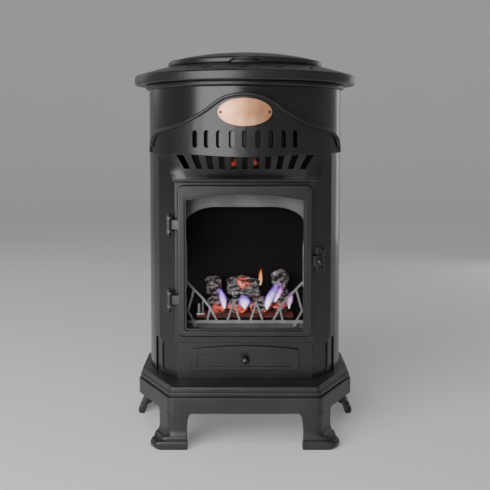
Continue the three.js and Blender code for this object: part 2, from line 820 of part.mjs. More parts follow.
// The louvre is a ruled sheet that fans out from the flat front to the hood's curve.
function louvreSpot(share, rise, proud) {
  const climb = Math.max(rise - louvreRise, 0) / (louvreHeight - louvreRise);
  const lowX = share * louvreHalf;
  const angle = Math.asin((lowX * (1 + louvreSplay * share ** louvreSplayPower)) / hoodInner);
  const radius = hoodInner - 2.2 * seatGap + proud;
  const lowDepth = frontDepth + louvreWall + proud;
  const x = lowX + (radius * Math.sin(angle) - lowX) * climb;
  const depth = lowDepth + (radius * Math.cos(angle) - lowDepth) * climb;
  return [x, depth, louvreBottom + rise];
}

function louvrePanel() {
  const steps = 20;
  const rings = [];
  for (let i = 0; i <= steps; i += 1) {
    const share = louvreOverrun * (-1 + (2 * i) / steps);
    rings.push([
      louvreSpot(share, 0, -louvreWall), louvreSpot(share, 0, 0),
      louvreSpot(share, louvreRise, 0), louvreSpot(share, louvreHeight, 0),
      louvreSpot(share, louvreHeight, -louvreWall), louvreSpot(share, louvreRise, -louvreWall),
    ]);
  }
  const sheet = lofted(rings, ([, depth, z]) => [depth, z]);
  const head = louvreHalf * (1 + louvreSplay * (1 + past / (louvreHeight - louvreRise)));
  const face = upright(outline([
    [-louvreHalf, louvreBottom - past], [louvreHalf, louvreBottom - past],
    [louvreHalf, louvreBottom + louvreRise], [head, louvreTop + past],
    [-head, louvreTop + past], [-louvreHalf, louvreBottom + louvreRise],
  ]), 0, drumRadius + 2 * past);
  const slots = [];
  for (let i = 0; i < louvreSlots; i += 1) {
    const share = ((i - (louvreSlots - 1) / 2) * louvreSlotPitch) / louvreHalf;
    const half = louvreSlotWidth / 2 / louvreHalf;
    slots.push(lofted([share - half, share + half].map((place) => [
      louvreSpot(place, louvreSlotFoot, -3 * louvreWall), louvreSpot(place, louvreSlotFoot, past),
      louvreSpot(place, louvreHeight - louvreSlotHead, past),
      louvreSpot(place, louvreHeight - louvreSlotHead, -3 * louvreWall),
    ]), ([, depth, z]) => [depth, z]));
  }
  return cut(sheet.intersect(face), [cut(castingEnvelope(), [castingPassage(seatGap)]), ...slots]);
}

function hoodCasting() {
  const whole = upright(hoodOutline(0), 0, hoodBead + past)
    .intersect(ring(drumRadius + seatGap, hoodBead, hoodBottomMiddle - past, overallHeight));
  const field = upright(hoodOutline(hoodBeadWidth), 0, hoodBead + past);
  const foot = block(-drumRadius, drumRadius, 0, hoodBead + past,
    hoodBottomMiddle - past, hoodBottomSide + 12);
  const face = joined([field, foot]);
  const slots = [];
  for (let i = 0; i < hoodSlots; i += 1) {
    const angle = (i - (hoodSlots - 1) / 2) * hoodSlotPitch;
    const slot = upright(obround(0, hoodSlotBottom, hoodSlotTop, hoodSlotWidth), frontDepth, hoodBead + past);
    slots.push(slot.rotate([0, 0, angle]));
  }
  const proud = face.intersect(ring(hoodOuter, hoodBead + past, 0, overallHeight));
  const behind = face.intersect(ring(frontDepth, hoodInner, 0, overallHeight));
  return cut(whole, [proud, behind, ...slots, ...plaqueScrewHoles(screwShank + seatGap)]);
}

function plaque() {
  const oval = new THREE.Shape();
  oval.absellipse(0, plaqueMiddle, plaqueHalfWidth, plaqueHalfHeight, 0, 2 * Math.PI);
  const field = new THREE.Shape();
  field.absellipse(0, plaqueMiddle, plaqueHalfWidth - plaqueRimWidth, plaqueHalfHeight - plaqueRimWidth,
    0, 2 * Math.PI);
  const back = hoodOuter + seatGap;
  const face = back + plaqueThickness;
  const sheet = upright(oval, frontDepth, hoodBead + past, 0, 16)
    .intersect(ring(back, face + plaqueRimRise, 0, overallHeight));
  const middle = upright(field, frontDepth, hoodBead + past, 0, 16)
    .intersect(ring(face, hoodBead + past, 0, overallHeight));
  return cut(sheet, [middle, ...plaqueScrewHoles(screwShank + seatGap)]);
}

function plaqueScrewHoles(radius) {
  return [-1, 1].map((side) => {
    const x = side * (plaqueHalfWidth - plaqueScrewInset);
    return bar(radius, [x, drumRadius - 20, plaqueMiddle], [x, hoodOuter + 20, plaqueMiddle], 10);
  });
}

function plaqueScrew(side) {
  const x = side * (plaqueHalfWidth - plaqueScrewInset);
  const face = Math.sqrt((hoodOuter + seatGap + plaqueThickness) ** 2 - x ** 2) + 1;
  return joined([
    bar(2.4, [x, face, plaqueMiddle], [x, face + 1.2, plaqueMiddle], 12),
    bar(screwShank - 0.2, [x, face - 3.6, plaqueMiddle], [x, face + 0.5, plaqueMiddle], 10),
  ]);
}

// A slot with pointed ends, punched straight through the rear panel.
function ventSlot(x, bottom) {
  const half = rearVentHeight / 2;
  return upright(outline([
    [x - rearVentHalf, bottom + half], [x - rearVentHalf + half, bottom],
    [x + rearVentHalf - half, bottom], [x + rearVentHalf, bottom + half],
    [x + rearVentHalf - half, bottom + rearVentHeight], [x - rearVentHalf + half, bottom + rearVentHeight],
  ]), -drumRadius - 20, -drumRadius / 2);
}

function rearPanel() {
  const inner = drumRadius + seatGap;
  const shell = ring(inner, inner + rearWall, rearBottom - rearLap, rearTop + rearLap);
  const half = inner * Math.sin((rearAngle + 2) * degree);
  const pane = shell.intersect(block(-half, half, -drumRadius - 20, 0, 0, overallHeight));
  const groupHeight = (rearVentRows - 1) * rearVentPitch + rearVentHeight;
  const vents = [rearBottom + rearVentInset, rearTop - rearVentInset - groupHeight].flatMap((start) => (
    rearVentColumns.flatMap((x) => Array.from({ length: rearVentRows }, (_, row) => (
      ventSlot(x, start + row * rearVentPitch)
    )))
  ));
  return cut(pane, vents);
}

// ---------------------------------------------------------------- top

function collar() {
  return turned([
    [collarInner, collarBottom], [drumRadius + 4, collarBottom], [collarRadius, collarBottom + 3],
    [collarRadius, collarTop], [collarInner, collarTop], [collarInner, collarBottom],
  ]);
}

function topPlate() {
  const plate = turned([
    [collarInner + 6, rimBottom], [rimRadius - 1.5, rimBottom], [rimRadius, rimBottom + 3],
    [rimRadius, rimTop - 2], [rimRadius - 2.5, rimTop], [lidSeatRadius, annulusTop],
    [wellRadius, annulusTop], [wellRadius, panelBottom - seatGap],
    [wellRadius - wellLedge, panelBottom - seatGap], [wellRadius - wellLedge, panelBottom - seatGap - 4],
    [wellRadius + 5, panelBottom - seatGap - 4], [lidSeatRadius, annulusTop - 2 * plateWall],
    [rimRadius - 8, rimTop - 2 * plateWall], [rimRadius - 8, rimBottom + 5],
    [collarInner + 6, rimBottom + 5], [collarInner + 6, rimBottom],
  ], topSegments);
  const vents = [];
  for (let i = 0; i < swirlSlots; i += 1) {
    const shape = new THREE.Shape();
    const bend = swirlLength * swirlBend;
    const sweep = Math.asin(swirlLength / 2 / bend);
    const middle = Math.PI / 2;
    shape.absarc(0, -bend, bend + swirlWidth / 2, middle - sweep, middle + sweep);
    shape.absarc(0, -bend * swirlInnerBend, bend * swirlInnerBend - swirlWidth / 2,
      middle + sweep * swirlInnerSweep, middle - sweep * swirlInnerSweep, true);
    const geometry = new THREE.ExtrudeGeometry(shape, {
      depth: rimHeight + 2 * annulusRise, bevelEnabled: false, curveSegments: 2,
    });
    geometry.rotateZ(swirlAngle * degree);
    geometry.translate(0, -(lidSeatRadius + rimRadius - 6) / 2, rimBottom + 6);
    geometry.rotateZ((i * 360 * degree) / swirlSlots);
    vents.push(solid(geometry));
  }
  const ears = [-1, 1].map((side) => lidEar(side));
  return joined([cut(plate, vents), ...ears]);
}

function lidAxisHeight() {
  return lidBottom + lidAxisRise;
}

// One of the two ears at the back of the top plate that hold the lid's pin.
function lidEar(side) {
  const near = side * (lidLugWidth / 2 + 0.5);
  const far = side * (lidLugWidth / 2 + 0.5 + lidEarWidth);
  const [left, right] = side > 0 ? [near, far] : [far, near];
  const axis = lidAxisHeight();
  const eye = joined([
    bar(lidEyeRadius, [left, lidHingeDepth, axis], [right, lidHingeDepth, axis]),
    block(left, right, lidHingeDepth - lidEyeRadius, lidHingeDepth + lidEyeRadius - 0.8,
      annulusTop - 12, axis),
  ]);
  return cut(eye, [bar(lidPinRadius + pinClearance, [left - past, lidHingeDepth, axis],
    [right + past, lidHingeDepth, axis])]);
}

function lid() {
  const bowl = overallHeight - lidEdgeTop;
  const crown = [];
  const steps = 5;
  for (let i = 0; i <= steps; i += 1) {
    const share = i / steps;
    crown.push([(lidRadius - 3) * (1 - share), lidEdgeTop + bowl * (1 - (1 - share) ** lidCurve)]);
  }
  const flange = lidRadius - lidFlange;
  const under = [[0, overallHeight - lidWall], [lidRadius * 0.6, lidEdgeTop + bowl * 0.85 - lidWall]];
  const shell = turned([
    [flange, lidBottom], [lidRadius - 1.5, lidBottom], [lidRadius, lidBottom + 1.5],
    [lidRadius, lidEdgeTop - 2.5], ...crown, ...under,
    [flange, lidEdgeTop - lidWall], [flange, lidBottom],
  ], topSegments);
  const axis = lidAxisHeight();
  const half = lidLugWidth / 2;
  const lug = cut(joined([
    bar(lidEyeRadius - 0.6, [-half, lidHingeDepth, axis], [half, lidHingeDepth, axis]),
    block(-half, half, lidHingeDepth, -lidRadius + 5, axis - 3, axis + 3),
  ]), [bar(lidPinRadius + pinClearance, [-half - past, lidHingeDepth, axis],
    [half + past, lidHingeDepth, axis])]);
  const arch = new THREE.Shape();
  arch.moveTo(-notchHalf, lidBottom - past);
  arch.lineTo(notchHalf, lidBottom - past);
  arch.absellipse(0, lidBottom, notchHalf, notchHeight, 0, Math.PI);
  const notch = upright(arch, 0, lidRadius + past)
    .intersect(ring(lidRadius - notchDepth, lidRadius + past, 0, overallHeight));
  return joined([cut(shell, [notch]), lug]);
}

function lidPin() {
  const end = lidLugWidth / 2 + lidEarWidth + 2;
  return bar(lidPinRadius, [-end, lidHingeDepth, lidAxisHeight()], [end, lidHingeDepth, lidAxisHeight()]);
}

// ---------------------------------------------------------------- door

function doorFrame() {
  const slab = upright(
    roundedRectangle(-doorHalf, doorHalf, doorBottom, doorTop, doorCorner), doorBack, doorFront, doorEdge,
  );
  const window = archedOpening(windowHalf, windowBottom, windowSideTop, windowCrown);
  const splay = archedOpening(
    windowHalf + windowChamfer, windowBottom - windowChamfer,
    windowSideTop + windowChamfer, windowCrown + windowChamfer, 7,
  );
  const rebate = archedOpening(
    windowHalf + glassLap + seatGap, windowBottom - glassLap - seatGap,
    windowSideTop + glassLap + seatGap, windowCrown + glassLap + seatGap,
  );
  const seat = glassBack + glassThickness + seatGap;
  const lugs = [upperLugMiddle, lowerLugMiddle].map((z) => joined([
    block(hingeX, -doorHalf + 4, hingeDepth - hingeEye, hingeDepth + 2.5,
      z - lugHeight / 2, z + lugHeight / 2),
    bar(hingeEye, [hingeX, hingeDepth, z - lugHeight / 2], [hingeX, hingeDepth, z + lugHeight / 2], 20),
  ]));
  const tab = upright(roundedRectangle(
    doorHalf - 6, latchX + 6, latchZ - latchTabHeight / 2, latchZ + latchTabHeight / 2, 4,
  ), latchTabBack, latchTabBack + latchTabThickness);
  const pinHoles = [upperLugMiddle, lowerLugMiddle].map((z) => bar(
    pinRadius + pinClearance, [hingeX, hingeDepth, z - lugHeight], [hingeX, hingeDepth, z + lugHeight], 20,
  ));
  const clips = [-1, 1].map((side) => {
    const middle = side * (windowHalf + glassLap);
    const half = clipWidth / 2 + seatGap;
    return block(middle - half, middle + half, doorBack - past, glassBack + 0.1,
      clipBottom() - seatGap, clipBottom() + clipLength + seatGap);
  });
  const shaftHole = bar(latchShaft + pinClearance, [latchX, latchTabBack - 20, latchZ],
    [latchX, doorFront + 20, latchZ]);
  return cut(joined([slab, ...lugs, tab]), [
    upright(window, doorBack - past, doorFront + past),
    upright(splay, doorFront - windowChamfer, doorFront + windowChamfer),
    upright(rebate, doorBack - past, seat),
    ...pinHoles, ...clips, shaftHole,
  ]);
}

function clipBottom() {
  return (windowBottom + windowSideTop) / 2 - clipLength / 2;
}

function doorGlass() {
  const pane = archedOpening(
    windowHalf + glassLap, windowBottom - glassLap, windowSideTop + glassLap, windowCrown + glassLap,
  );
  return upright(pane, glassBack, glassBack + glassThickness);
}

function glassClip(side) {
  const middle = side * (windowHalf + glassLap);
  return block(middle - clipWidth / 2, middle + clipWidth / 2,
    glassBack - seatGap - clipThickness, glassBack - seatGap, clipBottom(), clipBottom() + clipLength);
}

// A casting on the front's curved side, with an ear over and an ear under the door's lug.
function hingeBracket(middle) {
  const left = hingeX - earWidth / 2;
  const right = hingeX + earWidth / 2;
  const half = lugHeight / 2 + seatGap;
  const outer = half + earHeight;
  const eye = earWidth / 2 + 1.2;
  const ears = [-outer, half].map((start) => joined([
    block(left, right, frontDepth - 30, hingeDepth, middle + start, middle + start + earHeight),
    bar(eye, [hingeX, hingeDepth, middle + start], [hingeX, hingeDepth, middle + start + earHeight], 16),
  ]));
  const back = block(left - 3, right + 3, frontDepth - 30, frontDepth - 4, middle - outer, middle + outer);
  return cut(joined([...ears, back]), [
    castingEnvelope(),
    bar(pinRadius + pinClearance, [hingeX, hingeDepth, middle - outer - past],
      [hingeX, hingeDepth, middle + outer + past], 20),
  ]);
}

// All the space that the front casting takes up, with a gap round it.
function castingEnvelope(gap = seatGap) {
  return level(frontPlan(wrapRadius + gap, frontDepth + gap, 0), 0, overallHeight);
}

function hingePin(middle) {
  const end = lugHeight / 2 + seatGap + earHeight + 1;
  return joined([
    bar(pinRadius, [hingeX, hingeDepth, middle - end], [hingeX, hingeDepth, middle + end]),
    ball(pinBall, hingeX, hingeDepth, middle - end - 2.9, 12),
    ball(pinBall, hingeX, hingeDepth, middle + end + 2.9, 12),
  ]);
}

function latchKnob() {
  const front = latchTabBack + latchTabThickness + seatGap;
  return joined([
    ball(latchBall, latchX, front + latchBall * 0.9 + 1.5, latchZ, 16),
    bar(latchShaft + 1.5, [latchX, front, latchZ], [latchX, front + 3.5, latchZ]),
    bar(latchShaft, [latchX, tongueBack, latchZ], [latchX, front + 3, latchZ]),
    block(latchX - tongueHalf, latchX + tongueHalf, tongueBack, tongueFront, latchZ, latchZ + tongueReach),
  ]);
}

// Two pads on the casting, with a lip between them that the latch's tongue turns in behind.
function latchKeeper() {
  const slope = 6;
  const bottom = latchZ - keeperBelow;
  const top = latchZ + keeperAbove;
  const face = outline([
    [keeperLeft, bottom], [keeperRight, bottom], [keeperRight, top - slope],
    [keeperLeft + 7, top], [keeperLeft, top],
  ]);
  const low = latchZ - keeperSlotHalf;
  const high = latchZ + keeperSlotReach;
  const slot = block(keeperLeft - past, latchX + keeperSlotHalf, 0, keeperFront + past, low, high);
  const undercut = block(keeperLeft - past, keeperRight + past, 0, tongueFront + 1, low, high);
  const screws = keeperScrewHeights().map((z) => bar(screwShank + 0.3,
    [keeperScrewX(), keeperFront - 9, z], [keeperScrewX(), keeperFront + past, z], 12));
  const plate = upright(face, frontDepth - 30, keeperFront, 0.8);
  return cut(plate, [castingEnvelope(), slot, undercut, ...screws]);
}

function keeperScrewX() {
  return (keeperLeft + keeperRight) / 2 + 1;
}

function keeperScrewHeights() {
  return [latchZ - 15.8, latchZ + 19.5];
}

function keeperScrew(z) {
  const dome = ball(screwHead, keeperScrewX(), keeperFront + seatGap, z)
    .intersect(block(0, keeperRight + 20, keeperFront + seatGap, keeperFront + 20, z - 10, z + 10));
  return joined([
    dome, bar(screwShank, [keeperScrewX(), keeperFront - 8, z], [keeperScrewX(), keeperFront + 1, z], 12),
  ]);
}

// ---------------------------------------------------------------- firebox

function fireboxLiner() {
  const box = block(-linerHalf, linerHalf, linerBack, linerFront, linerBottom, linerTop);
  const inside = block(-linerHalf + sheetWall, linerHalf - sheetWall, linerBack + sheetWall, linerFront + past,
    linerBottom + sheetWall, linerTop - sheetWall);
  const flue = block(-90, 90, linerBack + 8, linerBack + 34, linerTop - past, linerTop + past);
  const pipeHole = bar(pipeRadius + 2, [knobX, burnerMiddle(), linerBottom - past],
    [knobX, burnerMiddle(), linerBottom + past]);
  return cut(box, [inside, flue, pipeHole]);
}

function burnerMiddle() {
  return (burnerBack + burnerFront) / 2;
}

function fireboxSurround() {
  const half = linerHalf - sheetWall - seatGap;
  const plate = outline([
    [-half, linerBottom + sheetWall + seatGap], [half, linerBottom + sheetWall + seatGap],
    [half, linerTop - sheetWall - seatGap], [-half, linerTop - sheetWall - seatGap],
  ]);
  return cut(upright(plate, surroundDepth, surroundDepth + surroundWall), [upright(
    shoulderedOpening(surroundOpeningHalf, surroundSill, surroundCrown, surroundCornerRun, surroundShoulder),
    surroundDepth - past, surroundDepth + surroundWall + past,
  )]);
}

// A run of the fret's bar along points of the front view, mitred at each bend.
function fretBarAlong(points) {
  const half = fretBar / 2;
  const spots = points.map(([x, z]) => new THREE.Vector2(x, z));
  const normal = (from, to) => {
    const run = to.clone().sub(from).normalize();
    return new THREE.Vector2(-run.y, run.x);
  };
  const offsets = spots.map((spot, i) => {
    const before = i > 0 ? normal(spots[i - 1], spot) : null;
    const after = i < spots.length - 1 ? normal(spot, spots[i + 1]) : null;
    if (!before || !after) return (before || after).clone().multiplyScalar(half);
    const middle = before.clone().add(after).normalize();
    return middle.multiplyScalar(Math.min(half / middle.dot(before), 2.5 * half));
  });
  const near = spots.map((spot, i) => spot.clone().add(offsets[i]));
  const far = spots.map((spot, i) => spot.clone().sub(offsets[i])).reverse();
  return upright(new THREE.Shape([...near, ...far]), fretBack, fretBack + fretThick);
}

function fireFret() {
  const foot = surroundSill;
  const runs = [-1, 1].flatMap((side) => fretRuns.map((points) => (
    points.map(([x, z]) => [side * x * fretHalf, foot + z * fretHeight])
  )));
  const rail = block(-fretHalf, fretHalf, fretBack - 0.5, fretBack + fretThick + 0.5, foot - 5, foot + 1);
  const feet = [-1, 1].map((side) => block(side * 100 - 4, side * 100 + 4,
    surroundDepth + surroundWall + seatGap, fretBack + fretThick - 0.5, foot - 12, foot - 3));
  return joined([rail, ...feet, ...runs.map(fretBarAlong)]);
}

function burnerTray() {
  const box = block(-burnerHalf, burnerHalf, burnerBack, burnerFront, burnerBottom, burnerTop);
  const trough = block(-burnerHalf + 3, burnerHalf - 3, burnerBack + 3, burnerFront - 3,
    burnerTop - 8, burnerTop + past);
  const hole = bar(pipeRadius + 0.4, [knobX, burnerMiddle(), burnerBottom - past],
    [knobX, burnerMiddle(), burnerBottom + 10]);
  return cut(box, [trough, hole]);
}

function emberBed() {
  const lip = 3 + seatGap;
  return joined([
    block(-burnerHalf + lip, burnerHalf - lip, burnerBack + lip, burnerFront - lip,
      burnerTop - 8 + seatGap, burnerTop + 1),
    block(-burnerHalf, burnerHalf, burnerBack, burnerFront, burnerTop + seatGap, emberTop),
  ]);
}

// A lump of ceramic coal: a faceted ball pressed out of round, with its foot cut flat.
function coal(spot, growth = 0) {
  const { x, size, deep, tall, seed, rise, on = [] } = spot;
  const geometry = new THREE.IcosahedronGeometry(1, 1);
  const places = geometry.attributes.position;
  const corner = new THREE.Vector3();
  for (let i = 0; i < places.count; i += 1) {
    corner.fromBufferAttribute(places, i);
    const wave = Math.sin(7.1 * corner.x + seed) * Math.cos(5.3 * corner.y - 2 * seed);
    corner.multiplyScalar(1 + 0.11 * (wave + Math.sin(6 * corner.z + seed)));
    places.setXYZ(i, corner.x * (size + growth), corner.y * (deep + growth), corner.z * (tall + growth));
  }
  geometry.rotateZ(0.3 * Math.sin(seed));
  geometry.translate(x, -coalDepth, emberTop + rise + tall * 0.8);
  const floor = block(-linerHalf, linerHalf, 0, drumRadius, linerBottom, emberTop + seatGap);
  const below = on.map((other) => coal(coalSpots.find(({ name }) => name === other), seatGap + 0.2));
  return cut(solid(geometry), [floor, ...below]);
}

function partition() {
  const reach = (radius) => Math.sqrt((radius - 2 * seatGap) ** 2 - (partitionDepth + sheetWall) ** 2);
  const wide = reach(drumRadius - drumWall);
  const narrow = reach(baseRingHole);
  const step = baseTop + seatGap;
  const sheet = outline([
    [-narrow, partitionFoot()], [narrow, partitionFoot()], [narrow, step], [wide, step],
    [wide, partitionTop], [-wide, partitionTop], [-wide, step], [-narrow, step],
  ]);
  return upright(sheet, partitionDepth, partitionDepth + sheetWall);
}

function partitionFoot() {
  return legHeight + baseShelfHeight + 2 * seatGap + floorThickness;
}

// ---------------------------------------------------------------- gas controls

function controlPanel() {
  const plate = disc(wellRadius - 0.6, panelBottom, panelTop, topSegments);
  return cut(plate, [
    bar(spindleRadius + 1, [knobX, knobDepth, panelBottom - past], [knobX, knobDepth, panelTop + past]),
    bar(buttonRadius + 0.4, [buttonX, buttonDepth, panelBottom - past],
      [buttonX, buttonDepth, panelTop + past], 20),
  ]);
}

function valveOutlet() {
  return panelBottom - seatGap - valveHeight / 2;
}

function gasValve() {
  const top = panelBottom - seatGap;
  const body = joined([
    block(knobX - valveHalf, knobX + valveHalf, knobDepth - valveHalf, knobDepth + valveHalf - 4,
      top - valveHeight, top),
    bar(6, [knobX, knobDepth, valveOutlet()], [knobX, pipeDepth, valveOutlet()]),
    bar(outletBoss, [knobX, pipeDepth, valveOutlet() - outletDrop],
      [knobX, pipeDepth, valveOutlet() + outletBoss]),
  ]);
  return cut(body, [
    bar(spindleRadius + pinClearance, [knobX, knobDepth, top - valveHeight + 6],
      [knobX, knobDepth, top + past]),
  ]);
}

function valveSpindle() {
  const foot = panelBottom - seatGap - valveHeight + 6 + spindleTravel + 1;
  return bar(spindleRadius, [knobX, knobDepth, foot], [knobX, knobDepth, panelTop + spindleTravel + 9]);
}

function controlKnob() {
  const bottom = panelTop + spindleTravel + 1;
  const body = turned([
    [0, 0], [knobRadius, 0], [knobRadius, knobHeight - 6], [knobRadius - 2, knobHeight - 3.5],
    [knobRadius - 5, knobHeight - 2.5], [0, knobHeight - 2.5],
  ], 32).translate([knobX, -knobDepth, bottom]);
  const grip = block(knobX - 3, knobX + 3, knobDepth - knobRadius + 4, knobDepth + knobRadius - 4,
    bottom + knobHeight - 4, bottom + knobHeight);
  return cut(joined([body, grip]), [
    bar(spindleRadius + pinClearance, [knobX, knobDepth, bottom - past],
      [knobX, knobDepth, panelTop + spindleTravel + 9.5]),
  ]);
}

function igniterBody() {
  const top = panelBottom - seatGap;
  return cut(bar(buttonRadius + 5, [buttonX, buttonDepth, top - 40], [buttonX, buttonDepth, top], 20), [
    bar(buttonRadius + 0.4, [buttonX, buttonDepth, top - 12 - buttonTravel],
      [buttonX, buttonDepth, top + past], 20),
  ]);
}

function igniterButton() {
  const foot = panelBottom - seatGap - 11;
  const head = panelTop + buttonTravel + 2;
  return bar(buttonRadius, [buttonX, buttonDepth, foot], [buttonX, buttonDepth, head], 20);
}

// The supply pipe: down behind the firebox, forward under its floor and up into the burner.
function gasPipe() {
  const bend = 10;
  const under = linerBottom - bend - pipeRadius - 2;
  const middle = burnerMiddle();
  const up = valveOutlet() - outletDrop - seatGap;
  const turnSteps = 4;
  const route = [[pipeDepth, up, 0]];
  for (let i = 0; i <= turnSteps; i += 1) {
    const angle = (i / turnSteps) * (Math.PI / 2);
    route.push([pipeDepth + bend * (1 - Math.cos(angle)), under + bend * (1 - Math.sin(angle)), angle]);
  }
  for (let i = 0; i <= turnSteps; i += 1) {
    const angle = (1 - i / turnSteps) * (Math.PI / 2);
    const turn = [middle - bend * (1 - Math.cos(angle)), under + bend * (1 - Math.sin(angle))];
    route.push([...turn, Math.PI - angle]);
  }
  route.push([middle, burnerBottom + 8, Math.PI]);
  const sides = 8;
  const tube = lofted(route.map(([depth, z, heading]) => Array.from({ length: sides }, (_, i) => {
    const angle = (i / sides) * 2 * Math.PI;
    const off = pipeRadius * Math.sin(angle);
    const x = knobX + pipeRadius * Math.cos(angle);
    return [x, depth + off * Math.cos(heading), z + off * Math.sin(heading)];
  })));
  const nut = bar(pipeRadius + 3, [knobX, pipeDepth, up - 12], [knobX, pipeDepth, up], 6);
  return joined([tube, nut]);
}

function inletTail() {
  const top = panelBottom - seatGap - valveHeight - seatGap;
  return joined([
    bar(6, [knobX, knobDepth - 6, top - 12], [knobX, knobDepth - 6, top], 6),
    bar(4, [knobX, knobDepth - 6, top - 34], [knobX, knobDepth - 6, top - 11], 12),
    bar(5, [knobX, knobDepth - 6, top - 24], [knobX, knobDepth - 6, top - 21], 12),
    bar(5, [knobX, knobDepth - 6, top - 32], [knobX, knobDepth - 6, top - 29], 12),
  ]);
}

function pilotBurner() {
  const x = -burnerHalf + 8;
  const front = burnerFront - 2;
  return joined([
    block(x - 8, x + 8, front - 16, front, emberTop + seatGap, emberTop + seatGap + 3),
    bar(3.5, [x - 4, front - 8, emberTop + 2], [x - 4, front - 8, emberTop + 22], 12),
    bar(2, [x + 4, front - 8, emberTop + 2], [x + 4, front - 8, emberTop + 27], 10),
  ]);
}

// ---------------------------------------------------------------- drawer

function drawerTray() {
  const front = frontDepth - sectionRecess / 2 + seatGap;
  const bottom = drawerBottom();
  const back = front - drawerLength;
  const box = cut(block(-drawerHalf, drawerHalf, back, front + 1, bottom, bottom + drawerHeight), [
    block(-drawerHalf + drawerWall, drawerHalf - drawerWall, back + drawerWall, front - drawerWall,
      bottom + drawerWall, bottom + drawerHeight + past),
  ]);
  const panel = archedOpening(drawerPanelHalf, drawerPanelBottom, drawerPanelSideTop, drawerPanelCrown, 3);
  const face = upright(panel, front, front + drawerPanelThickness, 1);
  const recess = upright(archedOpening(
    drawerPanelHalf - drawerPanelBorder, drawerPanelBottom + drawerPanelBorder - 3,
    drawerPanelSideTop - drawerPanelBorder - 2, drawerPanelCrown - drawerPanelBorder - 1, 3,
  ), front + drawerPanelThickness - drawerRecessDepth, front + drawerPanelThickness + past);
  const hole = bar(screwShank + 0.3, [0, front - 1, drawerKnobZ], [0, front + 20, drawerKnobZ], 12);
  return cut(joined([box, face]), [recess, hole]);
}

function drawerKnob() {
  const face = frontDepth - sectionRecess / 2 + 2 * seatGap + drawerPanelThickness - drawerRecessDepth;
  return joined([
    ball(drawerKnobBall, 0, face + 5 + drawerKnobBall * 0.9, drawerKnobZ, 16),
    bar(4, [0, face, drawerKnobZ], [0, face + 7, drawerKnobZ]),
    bar(screwShank, [0, face - 2.4, drawerKnobZ], [0, face + 2, drawerKnobZ], 12),
  ]);
}

// An angle that carries one side of the drawer and is fixed behind the drawer section.
function drawerRunner(side) {
  const inner = frontDepth - sectionRecess / 2 - sectionWall - seatGap;
  const foot = drawerBottom() - seatGap - 2;
  const edge = drawerHalf + seatGap;
  const [left, right] = side > 0 ? [edge - runnerWidth, edge + 2] : [-edge - 2, -edge + runnerWidth];
  const [wallLeft, wallRight] = side > 0 ? [edge, edge + 2] : [-edge - 2, -edge];
  return joined([
    block(left, right, inner - drawerLength + 4, inner, foot, foot + 2),
    block(wallLeft, wallRight, inner - drawerLength + 4, inner, foot, foot + 22),
  ]);
}

// ---------------------------------------------------------------- assembly

const bodyGroup = group(
  part('base_plinth', basePlinth(), blackIron),
  part('leg_front_left', frontLeg(-1), blackIron),
  part('leg_front_right', frontLeg(1), blackIron),
  part('leg_rear_left', rearLeg(-1), blackIron),
  part('leg_rear_right', rearLeg(1), blackIron),
  part('floor_plate', floorPlate(), blackSteel),
  part('drum_shell', drumShell(), blackSteel),
  part('drawer_section', drawerSection(), blackIron),
  part('front_casting', frontCasting(), blackIron),
  part('louvre_panel', louvrePanel(), blackIron),
  part('hood_casting', hoodCasting(), blackIron),
  part('plaque', plaque(), copperPlate),
  part('plaque_screw_left', plaqueScrew(-1), steelWork),
  part('plaque_screw_right', plaqueScrew(1), steelWork),
  part('rear_panel', rearPanel(), blackSteel),
);

const topGroup = group(
  part('collar', collar(), blackIron),
  part('top_plate', topPlate(), blackIron),
  part('lid', lid(), blackIron),
  part('lid_pin', lidPin(), steelWork),
);

const doorGroup = group(
  part('door_frame', doorFrame(), blackIron),
  part('door_glass', doorGlass(), fireGlass),
  part('glass_clip_left', glassClip(-1), steelWork),
  part('glass_clip_right', glassClip(1), steelWork),
  part('hinge_bracket_upper', hingeBracket(upperLugMiddle), blackIron),
  part('hinge_bracket_lower', hingeBracket(lowerLugMiddle), blackIron),
  part('hinge_pin_upper', hingePin(upperLugMiddle), blackSteel),
  part('hinge_pin_lower', hingePin(lowerLugMiddle), blackSteel),
  part('latch_knob', latchKnob(), blackSteel),
  part('latch_keeper', latchKeeper(), blackIron),
  part('keeper_screw_lower', keeperScrew(keeperScrewHeights()[0]), blackSteel),
  part('keeper_screw_upper', keeperScrew(keeperScrewHeights()[1]), blackSteel),
);

const fireGroup = group(
  part('firebox_liner', fireboxLiner(), greyPlate),
  part('firebox_surround', fireboxSurround(), greyPlate),
  part('fire_fret', fireFret(), blackIron),
  part('burner_tray', burnerTray(), greyPlate),
  part('ember_bed', emberBed(), emberRed),
  part('pilot_burner', pilotBurner(), steelWork),
  part('partition', partition(), blackSteel),
  ...coalSpots.map((spot) => part(spot.name, coal(spot), ceramicCoal)),
);

const controlGroup = group(
  part('control_panel', controlPanel(), blackSteel),
  part('gas_valve', gasValve(), brassWork),
  part('valve_spindle', valveSpindle(), steelWork),
  part('control_knob', controlKnob(), darkPlastic),
  part('igniter_body', igniterBody(), darkPlastic),
  part('igniter_button', igniterButton(), redPlastic),
  part('gas_pipe', gasPipe(), steelWork),
  part('inlet_tail', inletTail(), brassWork),
);

const drawerGroup = group(
  part('drawer_tray', drawerTray(), blackIron),
  part('drawer_knob', drawerKnob(), blackSteel),
  part('drawer_runner_left', drawerRunner(-1), steelWork),
  part('drawer_runner_right', drawerRunner(1), steelWork),
);

export default group(bodyGroup, topGroup, doorGroup, fireGroup, controlGroup, drawerGroup);
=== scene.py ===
"""A cabinet gas stove in potbelly style: cast iron and sheet steel in satin black, with an arched
glass door, ceramic coals, a louvred hood with a copper plaque, and a domed lid.

Lengths in the constants are millimetres; meshes are in metres. The front faces -Y, +Z is up."""

import json
import math

import bmesh
import bpy
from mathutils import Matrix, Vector, noise

